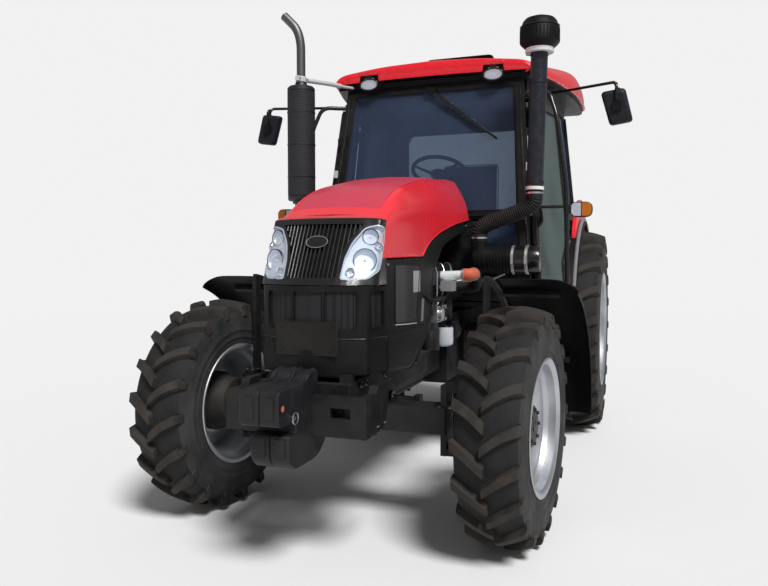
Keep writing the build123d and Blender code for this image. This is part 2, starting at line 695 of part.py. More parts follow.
# ---------------------------------------------------------------- cab shell
# The cab's sides lean in towards the roof, and the door sides also widen rearwards
# as far as the B post. side_x gives the half width of that outer surface.
cab_lean = 0.10735          # per millimetre of height
cab_splay = 0.2             # per millimetre of length
post_aft = 2000             # B post
side_top = 2540
side_front, side_front_half = 1425, 631
side_wall = 50

screen_slope = 0.1773
screen_aft, screen_z = 1258, 1678
screen_lean = math.atan(screen_slope)
screen_wall = 55
cab_top = 2556
cab_back_in, cab_back_out = 2700, 2750
floor_low, floor_top = 1050, 1080
fender_radius = 880         # outside of the rear fenders, about the rear axle
fender_sheet = 6
fender_inner_x = 640
glass = 5
glass_depth = 6             # from the outer face of a frame to its glass


def side_x(distance, height):
    """Half width of the cab's outer side surface."""
    widening = cab_splay * (min(distance, post_aft) - side_front)
    return side_front_half + widening + cab_lean * (side_top - height)


def screen_front(height, behind=0):
    """Distance aft of the windscreen frame's outer face, or of a face behind it."""
    return screen_aft + screen_slope * (height - screen_z) + behind / math.cos(screen_lean)


screen_plane = leaning_plane(screen_aft, screen_lean, screen_z)
side_origin = (side_x(post_aft, side_top), aft(post_aft), side_top)
door_plane = Plane(origin=side_origin, x_dir=(cab_splay, 1, 0), z_dir=(1, -cab_splay, cab_lean))
quarter_plane = Plane(origin=side_origin, x_dir=(0, 1, 0), z_dir=(1, 0, cab_lean))


def side_slab(plane, outline, inner, outer, mode=Mode.ADD):
    """A slab on the left cab side, from (distance aft, height) points of its surface."""
    flat = []
    for distance, height in outline:
        spot = plane.to_local_coords(Vector(side_x(distance, height), aft(distance), height))
        flat.append((spot.X, spot.Y))
    with BuildSketch(plane.offset(inner)) as section:
        with BuildLine():
            Polyline(*flat, close=True)
        make_face()
    extrude(section.sketch, amount=outer - inner, mode=mode)


def on_screen(points, inner, outer, mode=Mode.ADD, both=True):
    """A slab on the windscreen's plane, from the (x, z) points of its left half."""
    outline = [(x, (z - screen_z) / math.cos(screen_lean)) for x, z in points]
    if both:
        outline += [(-x, v) for x, v in reversed(outline)]
    with BuildSketch(screen_plane.offset(inner)) as section:
        with BuildLine():
            Polyline(*outline, close=True)
        make_face()
    extrude(section.sketch, amount=outer - inner, mode=mode)


def rear_slab(points, front, back, mode=Mode.ADD):
    """A slab across the tractor between two distances aft, from the (x, z) points of its left half."""
    outline = points + [(-x, z) for x, z in reversed(points)]
    with BuildSketch(Plane.XZ.offset(-aft(front))) as section:
        with BuildLine():
            Polyline(*outline, close=True)
        make_face()
    extrude(section.sketch, amount=-(back - front), mode=mode)


def shrunk(outline, by):
    """A convex outline moved inwards a little, towards its middle."""
    mid_a = sum(a for a, b in outline) / len(outline)
    mid_b = sum(b for a, b in outline) / len(outline)
    return [(a - math.copysign(by, a - mid_a), b - math.copysign(by, b - mid_b)) for a, b in outline]


with BuildPart() as cab_floor:
    with BuildSketch(Plane.XY.offset(floor_low)):
        with BuildLine():
            half = [(700, 1160), (855, 1790), (855, 1862), (fender_inner_x - seat_gap, 1862),
                    (fender_inner_x - seat_gap, cab_back_out - 10)]
            Polyline(*[(x, aft(d)) for x, d in half], *[(-x, aft(d)) for x, d in reversed(half)], close=True)
        make_face()
    extrude(amount=floor_top - floor_low)
    for side in (1, -1):
        rod((side * (fender_inner_x - seat_gap), rear_axle_y, rear_tyre_radius),
            (side * 1000, rear_axle_y, rear_tyre_radius), fender_radius + seat_gap, mode=Mode.SUBTRACT)
        for foot_aft, foot_low in ((1600, gearbox_top), (2450, housing_top)):
            rod((side * 170, aft(foot_aft), foot_low), (side * 170, aft(foot_aft), floor_low), 38)
finish(cab_floor, "cab_floor")

screen_opening = [(618, screen_z), (565, 2507)]
low_window = [(380, 1300), (650, 1300), (625, 1600), (400, 1600)]
pillar_foot, pillar_top = (733, 1090), (627, cab_top)
fork_plates = ((122, 134), (166, 178))

with BuildPart() as cab_front_frame:
    on_screen([pillar_foot, pillar_top], -screen_wall, 0)
    on_screen(screen_opening, -screen_wall - 1, 1, mode=Mode.SUBTRACT)
    for side in (1, -1):
        corners = [(side * x, z) for x, z in low_window]
        on_screen(corners, -screen_wall - 1, 1, mode=Mode.SUBTRACT, both=False)
        for near, far in fork_plates:
            with BuildSketch(Plane.YZ.offset(side * near)):
                with BuildLine():
                    Polyline((hinge_y - 13, hinge_z + 4), (hinge_y + 4, hinge_z + 14),
                             (hinge_y + 22, hinge_z - 10), (aft(screen_front(1665, 4)), 1665),
                             (aft(screen_front(1615, 4)), 1615), (hinge_y - 8, hinge_z - 30), close=True)
                make_face()
            extrude(amount=side * (far - near))
            rod((side * near, hinge_y, hinge_z), (side * far, hinge_y, hinge_z), hinge_eye)
        pin_start, pin_end = side * fork_plates[0][0], side * fork_plates[1][1]
        rod((pin_start, hinge_y, hinge_z), (pin_end, hinge_y, hinge_z), hinge_bore)
    bar((-800, 800), (aft(1100), aft(1300)), (floor_top - 100, floor_top), mode=Mode.SUBTRACT)
finish(cab_front_frame, "cab_front_frame")

doorway_top, sill_top = 2400, 1135
doorway = [(screen_front(sill_top) - 60, sill_top), (screen_front(doorway_top) - 60, doorway_top),
           (1960, doorway_top), (1960, 1490), (1785, 1320), (1775, sill_top)]
quarter_window = [(2070, 1720), (2640, 1720), (2640, 2480), (2070, 2480)]
hinge_aft, hinge_out = 1995, 18     # door hinge axis: behind the door's edge, outside the cab's surface
hinge_pin, hinge_sleeve = 8, 13
hinge_half = 30
door_hinges = (1620, 2330)


def hinge_point(height):
    """A point of the left door's hinge axis."""
    surface = Vector(side_x(hinge_aft, height), aft(hinge_aft), height)
    return surface + door_plane.z_dir * hinge_out


with BuildPart() as cab_side_frames:
    front_end = screen_front(floor_top) - 60, screen_front(cab_top) - 60
    side_slab(door_plane, [(front_end[0], floor_top), (front_end[1], cab_top), (post_aft, cab_top),
                           (post_aft, floor_top)], -side_wall, 0)
    side_slab(door_plane, doorway, -2 * side_wall, side_wall, mode=Mode.SUBTRACT)
    rear_end = cab_back_in + 40
    side_slab(quarter_plane, [(post_aft - 8, floor_top), (post_aft - 8, cab_top), (rear_end, cab_top),
                              (rear_end, floor_top)], -side_wall, 0)
    side_slab(quarter_plane, quarter_window, -2 * side_wall, side_wall, mode=Mode.SUBTRACT)
    rod((fender_inner_x - 60, rear_axle_y, rear_tyre_radius), (1000, rear_axle_y, rear_tyre_radius),
        fender_radius + 8, mode=Mode.SUBTRACT)
    with BuildSketch(screen_plane.offset(-screen_wall - seat_gap)):
        Rectangle(3000, 3000)
    extrude(amount=500, mode=Mode.SUBTRACT)
    rear_face = aft(cab_back_in) - seat_gap
    bar((0, 1000), (rear_face, rear_face + 200), (floor_low, 2700), mode=Mode.SUBTRACT)
    bar((0, 1200), (aft(1000), aft(2900)), (floor_top - 200, floor_top + seat_gap), mode=Mode.SUBTRACT)
    for height in door_hinges:
        for lug_low, lug_high in ((-44, -31), (31, 44)):
            low, high = height + lug_low, height + lug_high
            side_slab(door_plane, [(1984, low), (2008, low), (2008, high), (1984, high)], -10, hinge_out)
            rod(hinge_point(low), hinge_point(high), hinge_sleeve)
        rod(hinge_point(height - 44), hinge_point(height + 44), hinge_pin)
    mirror(about=Plane.YZ)
finish(cab_side_frames, "cab_side_frames")

window_hinge_aft, window_hinge_z = 2768, 2475
window_sleeve, window_pin = 12, 6
window_eye = (300, 360)
window_hinge_y = aft(window_hinge_aft)
with BuildPart() as cab_rear_frame:
    wide_z, step_x = 1690, fender_inner_x - 6
    rear_slab([(step_x, floor_top + seat_gap), (step_x, wide_z), (side_x(post_aft, wide_z), wide_z),
               (side_x(post_aft, cab_top), cab_top)], cab_back_in, cab_back_out)
    rear_slab([(600, 1720), (600, 2380), (560, 2440)], cab_back_in - 1, cab_back_out + 1, mode=Mode.SUBTRACT)
    near, far = window_eye
    for inner, outer in ((near - 14, near - 2), (far + 2, far + 14)):
        for low, high in ((inner, outer), (-outer, -inner)):
            bar((low, high), (aft(cab_back_out), window_hinge_y), (window_hinge_z - 12, window_hinge_z + 12))
        hinge_pair(inner, outer, window_hinge_y, window_hinge_z, window_sleeve)
    hinge_pair(near - 14, far + 14, window_hinge_y, window_hinge_z, window_pin)
finish(cab_rear_frame, "cab_rear_frame")

with BuildPart() as rear_window:
    pane_front, pane_back = cab_back_out + move_gap, cab_back_out + move_gap + 6
    rear_slab([(618, 1702), (618, 2400), (575, 2455)], pane_front, pane_back)
    near, far = window_eye
    for low, high in ((near, far), (-far, -near)):
        bar((low, high), (aft(pane_back), aft(pane_back + 8)), (2400, window_hinge_z))
    hinge_pair(near, far, window_hinge_y, window_hinge_z, window_sleeve)
    hinge_pair(near - 1, far + 1, window_hinge_y, window_hinge_z, window_pin + fit, mode=Mode.SUBTRACT)
finish(rear_window, "rear_window")

with BuildPart() as cab_glass:
    on_screen(shrunk([(618, screen_z), (565, 2507), (-565, 2507), (-618, screen_z)], seat_gap),
              -glass_depth - glass, -glass_depth, both=False)
    side_slab(quarter_plane, shrunk(quarter_window, seat_gap), -glass_depth - glass, -glass_depth)
    on_screen(shrunk(low_window, seat_gap), -glass_depth - glass, -glass_depth, both=False)
    mirror(about=Plane.YZ)
finish(cab_glass, "cab_glass")

# ---------------------------------------------------------------- doors
door_gap, door_leaf = 6, 24     # outside the cab's surface, and thickness
door_border = 45
door_front = 45                 # behind the windscreen frame's outer face
door_low, door_top = 1120, 2425
door_outline = [
    (screen_front(door_low) + door_front, door_low), (screen_front(door_top) + door_front, door_top),
    (1972, door_top), (1972, 1480), (1800, 1310), (1790, door_low),
]
door_window = [
    (screen_front(door_low + 40) + door_front + door_border, door_low + door_border),
    (screen_front(door_top) + door_front + door_border - 8, door_top - door_border),
    (1972 - door_border, door_top - door_border), (1972 - door_border, 1480 + 18),
    (1800 - door_border, 1310 + 18), (1790 - door_border, door_low + door_border),
]
with BuildPart() as door:
    side_slab(door_plane, door_outline, door_gap, door_gap + door_leaf)
    side_slab(door_plane, door_window, 0, 2 * door_leaf, mode=Mode.SUBTRACT)
    for height in door_hinges:
        low, high = height - hinge_half + 2, height + hinge_half - 2
        side_slab(door_plane, [(1950, low), (1992, low), (1992, high), (1950, high)],
                  hinge_out - 7, hinge_out + 7)
        rod(hinge_point(height - hinge_half), hinge_point(height + hinge_half), hinge_sleeve)
        rod(hinge_point(height - hinge_half - 1), hinge_point(height + hinge_half + 1), hinge_pin + fit,
            mode=Mode.SUBTRACT)
    handle_low, handle_high = 1560, 1700
    low_front = screen_front(handle_low) + door_front + 12
    high_front = screen_front(handle_high) + door_front + 12
    side_slab(door_plane, [(low_front, handle_low), (high_front, handle_high),
                           (high_front + 22, handle_high), (low_front + 22, handle_low)],
              door_gap + door_leaf, door_gap + door_leaf + 22)
finish(door, "left_door")
finish_mirrored(door, "right_door")

with BuildPart() as door_glass:
    pane_in = door_gap + door_leaf / 2
    side_slab(door_plane, door_window, pane_in, pane_in + glass)
finish(door_glass, "left_door_glass")
finish_mirrored(door_glass, "right_door_glass")

# ---------------------------------------------------------------- roof
roof_base = 2590
liner_low = cab_top + seat_gap
# columns: distance aft, edge half width, shoulder (x, z), bend (x, z), crown (x, z), centre z
roof_sections = [
    (1335, 690, (690, 2602), (600, 2640), (350, 2690), 2700),
    (1450, 715, (715, 2620), (620, 2660), (350, 2728), 2748),
    (2230, 890, (890, 2690), (857, 2755), (400, 2790), 2795),
    (2800, 900, (900, 2680), (850, 2740), (400, 2775), 2780),
    (2880, 860, (860, 2660), (800, 2710), (400, 2745), 2750),
]
hatch_hole = (250, 2160, 2630)      # half width, front and back distance aft
hatch_hinge_y, hatch_hinge_z = aft(2662), 2818
hatch_front, hatch_back = 2146, 2644
hatch_half = 265
hatch_rest = 13                     # the roof hatch stands ajar, degrees
hatch_eye = (100, 160)
hatch_sleeve, hatch_pin = 10, 5
light_x, light_z = 438, 2576
light_half_width, light_half_height = 60, 34
light_front, light_back = 1324, 1396


def light_prism(grow, front, back, mode=Mode.ADD):
    """Both oval work light shapes as prisms along the tractor."""
    for side in (1, -1):
        with BuildSketch(Plane.XZ.offset(-aft(front))) as oval:
            with Locations((side * light_x, light_z)):
                Ellipse(light_half_width + grow, light_half_height + grow)
        extrude(oval.sketch, amount=-(back - front), mode=mode)


with BuildPart() as roof:
    stations = []
    for distance, edge, *upper, centre in roof_sections:
        half = [(edge, roof_base)] + upper
        with BuildSketch(Plane.XZ.offset(-aft(distance))) as station:
            with BuildLine():
                Polyline(*half, (0, centre), *[(-x, z) for x, z in reversed(half)], close=True)
            make_face()
        stations.append(station.sketch.faces()[0])
    loft(stations, ruled=True)
    with BuildSketch(Plane.XY.offset(liner_low)):
        with BuildLine():
            Polyline((640, aft(1410)), (755, aft(1985)), (755, aft(2760)), (-755, aft(2760)),
                     (-755, aft(1985)), (-640, aft(1410)), close=True)
        make_face()
    extrude(amount=roof_base - liner_low)
    hole_half, hole_front, hole_back = hatch_hole
    bar((-hole_half, hole_half), (aft(hole_front), aft(hole_back)), (2500, 2900), mode=Mode.SUBTRACT)
    light_prism(seat_gap, light_front - 20, light_back + seat_gap, mode=Mode.SUBTRACT)
    near, far = hatch_eye
    for inner, outer in ((near - 12, near - 2), (far + 2, far + 12)):
        for low, high in ((inner, outer), (-outer, -inner)):
            bar((low, high), (hatch_hinge_y - 10, hatch_hinge_y + 10), (2770, hatch_hinge_z))
        hinge_pair(inner, outer, hatch_hinge_y, hatch_hinge_z, hatch_sleeve)
    hinge_pair(near - 12, far + 12, hatch_hinge_y, hatch_hinge_z, hatch_pin)
finish(roof, "roof")

with BuildPart() as closed_hatch:
    bar((-hatch_half, hatch_half), (aft(hatch_front), aft(hatch_back)), (2804, 2826))
    for low, high in ((near, far), (-far, -near)):
        bar((low, high), (aft(hatch_back - 40), hatch_hinge_y), (2820, 2828))
    hinge_pair(near, far, hatch_hinge_y, hatch_hinge_z, hatch_sleeve)
    hinge_pair(near - 1, far + 1, hatch_hinge_y, hatch_hinge_z, hatch_pin + fit, mode=Mode.SUBTRACT)
with BuildPart() as roof_hatch:
    hatch_axis = Axis((0, hatch_hinge_y, hatch_hinge_z), (-1, 0, 0))
    add(closed_hatch.part.rotate(hatch_axis, hatch_rest))
finish(roof_hatch, "roof_hatch")

# ---------------------------------------------------------------- rear fenders
fender_outer_x, fender_foot_x = 935, 880
fender_from, fender_to = 25, 163    # degrees above the rearward horizontal
fender_wheel_hole = 300
ridge_x = (868, 905)
ridge_radius = 1050


def about_rear_wheel(angle, radius):
    """(distance aft, height) of a point at this angle about the rear axle."""
    turn = math.radians(angle)
    return wheelbase + radius * math.cos(turn), rear_tyre_radius + radius * math.sin(turn)


def fender_band(inner_x, outer_x, inner_r, outer_r):
    """A band of the fender about the rear axle between two x positions."""
    plane = Plane(origin=(inner_x, rear_axle_y, rear_tyre_radius), x_dir=(0, 1, 0), z_dir=(1, 0, 0))
    ends = []
    for angle in (fender_from, fender_to):
        turn = math.radians(angle)
        ends.append([(r * math.cos(turn), r * math.sin(turn)) for r in (inner_r, outer_r)])
    with BuildSketch(plane) as section:
        with BuildLine():
            CenterArc((0, 0), inner_r, fender_from, fender_to - fender_from)
            CenterArc((0, 0), outer_r, fender_from, fender_to - fender_from)
            Line(*ends[0])
            Line(*ends[1])
        make_face()
    extrude(section.sketch, amount=outer_x - inner_x)


with BuildPart() as rear_fenders:
    inside = fender_radius - fender_sheet
    fender_band(fender_inner_x, fender_outer_x, inside, fender_radius)
    fender_band(fender_inner_x, fender_inner_x + fender_sheet, fender_wheel_hole, fender_radius)
    fender_band(fender_outer_x - fender_sheet, fender_outer_x, inside - 30, inside)
    with BuildSketch(Plane.XY.offset(floor_low - 100)):
        with BuildLine():
            taper_end = aft(about_rear_wheel(135, fender_radius)[0])
            Polyline((fender_foot_x, aft(1700)), (fender_foot_x, aft(1846)), (fender_outer_x, taper_end),
                     (fender_outer_x + 50, taper_end), (fender_outer_x + 50, aft(1700)), close=True)
        make_face()
    extrude(amount=600, mode=Mode.SUBTRACT)
    ridge_foot = inside + 2
    ridge_origin = (ridge_x[0], rear_axle_y, rear_tyre_radius)
    with BuildSketch(Plane(origin=ridge_origin, x_dir=(0, 1, 0), z_dir=(1, 0, 0))):
        with BuildLine():
            outline = [(128, ridge_foot), (112, ridge_radius), (75, ridge_radius), (55, ridge_foot)]
            points = [(r * math.cos(math.radians(a)), r * math.sin(math.radians(a))) for a, r in outline]
            Polyline(points[0], points[1])
            CenterArc((0, 0), ridge_radius, 75, 37)
            Polyline(points[2], points[3])
            CenterArc((0, 0), ridge_foot, 55, 73)
        make_face()
    extrude(amount=ridge_x[1] - ridge_x[0])
    mirror(about=Plane.YZ)
finish(rear_fenders, "rear_fenders")

# ---------------------------------------------------------------- inside the cab
with BuildPart() as dashboard:
    dash_half = 230
    with BuildSketch(Plane.YZ.offset(-dash_half)):
        with BuildLine():
            profile = [(1290, floor_top), (1480, floor_top), (1470, 1500), (1570, 1800), (1430, 1870),
                       (1360, 1860), (1320, 1500)]
            Polyline(*[(aft(d), z) for d, z in profile], close=True)
        make_face()
    extrude(amount=2 * dash_half)
finish(dashboard, "dashboard")

wheel_tilt = math.atan(0.5)
steering_centre = Vector(0, aft(1600), 1983)
steering_axis = Vector(0, math.sin(wheel_tilt), math.cos(wheel_tilt))
column_length = 177
with BuildPart() as steering_wheel:
    rim_radius, rim_tube = 190, 14
    hub_plane = Plane(origin=steering_centre, x_dir=(1, 0, 0), z_dir=steering_axis)
    with BuildSketch(Plane(origin=steering_centre, x_dir=(1, 0, 0), z_dir=hub_plane.y_dir * -1)):
        with Locations((rim_radius, 0)):
            Circle(rim_tube)
    revolve(axis=Axis(steering_centre, steering_axis))
    rod(steering_centre - steering_axis * 18, steering_centre + steering_axis * 12, 48)
    for angle in (90, 210, 330):
        turn = math.radians(angle)
        spoke = hub_plane.x_dir * math.cos(turn) + hub_plane.y_dir * math.sin(turn)
        rod(steering_centre + spoke * 40, steering_centre + spoke * rim_radius, 9)
    rod(steering_centre - steering_axis * (column_length - seat_gap), steering_centre, 27)
finish(steering_wheel, "steering_wheel")

cushion_low, cushion_top = 1480, 1600
with BuildPart() as seat_base:
    bar((-150, 150), (aft(2180), aft(2480)), (floor_top, 1400))
    bar((-220, 220), (aft(2110), aft(2530)), (1400, cushion_low))
    bar((-60, 60), (aft(2480), aft(2662)), (1385, 1425))
    bar((-60, 60), (aft(2642), aft(2662)), (1385, 2000))
finish(seat_base, "seat_base")

with BuildPart() as seat_cushions:
    bar((-250, 250), (aft(2080), aft(2560)), (cushion_low + seat_gap, cushion_top))
    bar((-240, 240), (aft(2525), aft(2642) - seat_gap), (cushion_top + seat_gap, 2150))
finish(seat_cushions, "seat_cushions")

# ---------------------------------------------------------------- exhaust and intake
stack_x, stack_aft = -748, 900
muffler_low, muffler_top = 1740, 2491
muffler_radius, exhaust_pipe, tail_radius = 91, 45, 28.5
exhaust_z = 1262
with BuildPart() as muffler:
    stack_y = aft(stack_aft)
    rod((stack_x, stack_y, muffler_low), (stack_x, stack_y, muffler_top), muffler_radius)
    tube_along([(-engine_half - seat_gap, stack_y, exhaust_z), (stack_x, stack_y, exhaust_z),
                (stack_x, stack_y, muffler_low + 20)], [110], exhaust_pipe)
    tube_along([(stack_x, stack_y, muffler_top - 20), (stack_x, stack_y, 2842),
                (stack_x - 120, stack_y, 2962)], [150], tail_radius, 3)
    rod((stack_x, stack_y, 2520), (stack_x, stack_y, 2556), 40)
    rod((stack_x + 20, stack_y, 2538), (stack_x + 190, aft(1330), 2560), 11)
    rod((stack_x + 20, stack_y, 2538), (stack_x + 100, aft(1102), 2549), 17)
finish(muffler, "muffler")

pipe_foot, pipe_head = Vector(754, aft(1080), 1785), Vector(776, aft(1080), 2640)
pipe_radius = 51.5
with BuildPart() as intake_stack:
    pipe_axis = (pipe_head - pipe_foot).normalized()
    rod(pipe_foot, pipe_head, pipe_radius)
    rod(pipe_foot, pipe_foot + pipe_axis * 20, pipe_radius + 5)
    bowl = [(0, -26), (86, -26), (86, 0), (118.5, 30), (118.5, 120), (100, 168), (50, 190), (0, 190)]
    forwards = Vector(0, -1, 0)
    with BuildSketch(Plane(origin=pipe_head, x_dir=forwards, z_dir=forwards.cross(pipe_axis))) as cap:
        with BuildLine():
            Polyline(*bowl, close=True)
        make_face()
    revolve(cap.sketch, axis=Axis(pipe_head, pipe_axis))
    rod((pipe_foot.X - 30, aft(1100), 1830), (pipe_foot.X - 30, aft(1290), 1830), 9)
finish(intake_stack, "intake_stack")

cleaner_aft, cleaner_z, cleaner_radius = 1100, 1355, 90
with BuildPart() as air_cleaner:
    rod((370, aft(cleaner_aft), cleaner_z), (800, aft(cleaner_aft), cleaner_z), cleaner_radius)
    rod((410, aft(1080), cleaner_z), (410, aft(1080), 1470), pipe_radius)
    bar((engine_half + seat_gap, 372), (aft(1050), engine_back - 10), (1290, 1320))
finish(air_cleaner, "air_cleaner")

with BuildPart() as intake_hoses:
    tube_along([(pipe_foot.X, pipe_foot.Y, pipe_foot.Z - 2), (pipe_foot.X, aft(1080), 1685),
                (410, aft(1080), 1565), (410, aft(1080), 1470 + seat_gap)], [110, 75], pipe_radius - 2)
    tube_along([(engine_half + seat_gap, aft(650), 1290), (453, aft(650), 1290), (453, aft(800), 1290),
                (453, aft(860), 1180)], [45, 50], 34)
    rod((453, aft(855), 1190), (engine_half + seat_gap, aft(855), 1190), 34)
finish(intake_hoses, "intake_hoses")

# ---------------------------------------------------------------- mirrors, rails, lamps
with BuildPart() as mirrors:
    mirror_aft = 1330
    side_slab(door_plane, [(1825, 2500), (1865, 2500), (1865, 2552), (1825, 2552)], seat_gap, 12)
    root = Vector(side_x(1845, 2530), aft(1845), 2530)
    tube_along([root + Vector(8, 0, 0), (837, aft(1822), 2537), (1211, aft(mirror_aft), 2461),
                (1226, aft(mirror_aft), 2370)], [45, 30], 10)
    with BuildSketch(Plane.XZ.offset(-aft(mirror_aft - 28))):
        with BuildLine():
            Polyline((1120, 2403), (1267, 2423), (1318, 2213), (1179, 2193), close=True)
        make_face()
    extrude(amount=-56)
    mirror(about=Plane.YZ)
finish(mirrors, "mirrors")

rail_tube = 14
rail_points = [(641.9, 1420, 2440), (800, 1345, 2443), (858, 1300, 2270), (925, 1250, 1820),
               (949, 1158, 1180), (930, 1150, 1100), (734.6, 1176, 1098)]
lamp_z = 1668
with BuildPart() as grab_rails:
    route = [(x, aft(d), z) for x, d, z in rail_points]
    tube_along(route, [60, 60, 60, 40, 25], rail_tube)
    bar((931, 955.7), (aft(1212), aft(1244)), (lamp_z - 28, lamp_z + 32))
    mirror(about=Plane.YZ)
finish(grab_rails, "grab_rails")

with BuildPart() as lamps:
    light_prism(0, light_front, light_back)
    for side in (1, -1):
        near, far = sorted((side * 956, side * 1090))
        bar((near, far), (aft(1197), aft(1247)), (lamp_z - 47, lamp_z + 47))
finish(lamps, "lamps")

# ---------------------------------------------------------------- tanks and steps
with BuildPart() as fuel_tanks:
    for side in (1, -1):
        near, far = sorted((side * 430, side * 690))
        bar((near, far), (aft(1290), aft(1760)), (540, 930))
        for bracket in (1520, 1690):
            low, high = sorted((side * (210 + seat_gap), side * 432))
            bar((low, high), (aft(bracket), aft(bracket + 30)), (560, 600))
            bar((low, high), (aft(bracket), aft(bracket + 30)), (860, 900))
finish(fuel_tanks, "fuel_tanks")

step_depth = (1420, 1700)
step_heights = (440, 640, 840)
with BuildPart() as steps:
    for side in (1, -1):
        near, far = sorted((side * 700, side * 755))
        for end in (step_depth[0], step_depth[1] - 10):
            bar((near, far), (aft(end), aft(end + 10)), (step_heights[0], floor_low - seat_gap))
        near, far = sorted((side * 700, side * 850))
        for height in step_heights:
            bar((near, far), (aft(step_depth[0]), aft(step_depth[1])), (height, height + 25))
finish(steps, "steps")
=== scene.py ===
"""Finished look of a four-wheel-drive farm tractor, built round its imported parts."""
from math import atan, copysign, cos, hypot, pi, radians, sin, tau

import bmesh
import bpy
from bpy.props import FloatProperty, FloatVectorProperty, IntProperty, PointerProperty
from mathutils import Matrix, Vector


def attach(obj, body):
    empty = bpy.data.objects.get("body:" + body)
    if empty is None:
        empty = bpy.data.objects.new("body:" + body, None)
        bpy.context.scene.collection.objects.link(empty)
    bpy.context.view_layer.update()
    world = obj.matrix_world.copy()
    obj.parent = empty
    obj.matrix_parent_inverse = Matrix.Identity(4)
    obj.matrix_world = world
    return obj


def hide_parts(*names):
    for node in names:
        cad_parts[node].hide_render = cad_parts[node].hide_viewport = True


bl_info = {
    "name": "Farm tractor",
    "version": (1, 0, 0),
    "blender": (4, 5, 0),
    "location": "View3D > Sidebar > Tractor",
    "description": "Builds the finished look of a cab tractor round its packed parts",
    "category": "Add Mesh",
}

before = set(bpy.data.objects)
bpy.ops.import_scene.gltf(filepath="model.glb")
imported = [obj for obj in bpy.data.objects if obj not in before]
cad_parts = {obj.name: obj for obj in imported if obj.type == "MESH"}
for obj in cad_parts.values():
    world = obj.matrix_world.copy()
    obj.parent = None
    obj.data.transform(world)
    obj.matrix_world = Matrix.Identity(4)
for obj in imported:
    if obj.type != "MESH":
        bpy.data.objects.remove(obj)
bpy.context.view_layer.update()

MM = 0.001
ACROSS, AFT, AHEAD, UP = (1, 0, 0), (0, 1, 0), (0, -1, 0), (0, 0, 1)
FRONT_AXLE_Y = -1.315       # metres, where the front axle lies
# end: tyre radius, tyre width, bead radius, rim half width, well drop, hub plane, rim plane,
#      hub hole radius, lug height, lug lead, lug half width
WHEELS = {
    "front": (569, 315, 304.8, 150, 20, 20, 60, 115, 36, 104, 20),
    "rear": (792, 430, 431.8, 205, 25, -40, 40, 130, 42, 150, 26),
}
KINGPIN_X, KINGPIN_OFFSET = 604.5, 230
PARKED_STEER = radians(-4.7)
REAR_WHEEL_X = 880
FRONT_HUB, REAR_HUB = (0, 569), (2688, 792)     # distance behind the front axle, height
MUFFLER_X, MUFFLER_D = -748, 900
CAMERA_AT, CAMERA_TURN = (1.420, -4.792, 1.366), (pi / 2 - 0.048, 0, 0.348)


# ---------------------------------------------------------------- settings
def length_setting(name, description, default):
    """A length in metres."""
    return FloatProperty(name=name, description=description, default=default, unit="LENGTH")


def colour_setting(name, description, default):
    """A plain colour."""
    return FloatVectorProperty(name=name, description=description, default=default,
                               subtype="COLOR", size=3, min=0, max=1)


class TractorSizes(bpy.types.PropertyGroup):
    """Counts and sizes of the detail."""

    front_lugs: IntProperty(name="Front lugs", description="Lugs on each side of a front tyre", default=19)
    rear_lugs: IntProperty(name="Rear lugs", description="Lugs on each side of a rear tyre", default=21)
    slat_pitch: length_setting("Slat pitch", "Distance between the upright slats of the nose", 0.021)
    hose_rib: length_setting("Hose rib", "Distance between the ribs of the intake hose", 0.0135)
    edge_round: length_setting("Edge rounding", "Rounding of the edges of cast and welded pieces", 0.003)
    camera_lens: FloatProperty(name="Lens", description="Focal length of the view", default=34.13,
                               unit="CAMERA")


class TractorColours(bpy.types.PropertyGroup):
    """Colours of the main finishes."""

    hood: colour_setting("Hood enamel", "Red of the hood and fenders", (0.95, 0.022, 0.040))
    hood_panel: colour_setting("Hood panel", "Duller red of the panel on top", (0.62, 0.045, 0.085))
    roof: colour_setting("Roof", "Red of the roof moulding", (0.82, 0.010, 0.024))
    black: colour_setting("Black moulding", "Black of the nose and panels", (0.0065, 0.0065, 0.0072))
    cast: colour_setting("Cast paint", "Dark grey of the castings", (0.011, 0.011, 0.013))
    rubber: colour_setting("Tyre rubber", "Rubber between the lugs", (0.012, 0.0125, 0.014))
    lug: colour_setting("Lug rubber", "Dusty brown of the worn lugs", (0.022, 0.020, 0.018))
    rim: colour_setting("Rim paint", "Silver of the wheel rims", (0.40, 0.41, 0.43))
    stack: colour_setting("Intake stack", "Blue-grey of the intake pipe", (0.008, 0.010, 0.018))
    # the blue of this tint partly stands for painted reflection on the glass
    glass: colour_setting("Glass tint", "Tint of the windscreen", (0.16, 0.23, 0.40))
    floor: colour_setting("Floor", "Pale floor and backdrop", (0.875, 0.875, 0.875))


# ---------------------------------------------------------------- shader helpers
class Value:
    """A shader socket that takes part in Python arithmetic."""

    def __init__(self, tree, socket):
        self.tree = tree
        self.socket = socket

    def math(self, operation, other=None, swap=False):
        """One Math node on this value and, if given, another."""
        operands = [self] if other is None else [other, self] if swap else [self, other]
        sockets = {f"i{place}": operand for place, operand in enumerate(operands)}
        return Nodes(self.tree).node("Math", {"operation": operation}, **sockets)

    def __add__(self, other):
        return self.math("ADD", other)

    def __sub__(self, other):
        return self.math("SUBTRACT", other)

    def __rsub__(self, other):
        return self.math("SUBTRACT", other, swap=True)

    def __mul__(self, other):
        return self.math("MULTIPLY", other)

    def __truediv__(self, other):
        return self.math("DIVIDE", other)

    __radd__ = __add__
    __rmul__ = __mul__


def feed(tree, place, operand):
    """Link a value to a socket, or set the socket to a plain number or colour."""
    if isinstance(operand, Value):
        tree.links.new(operand.socket, place)
    elif place.type == "RGBA" and len(operand) == 3:
        place.default_value = (*operand, 1)
    else:
        place.default_value = operand


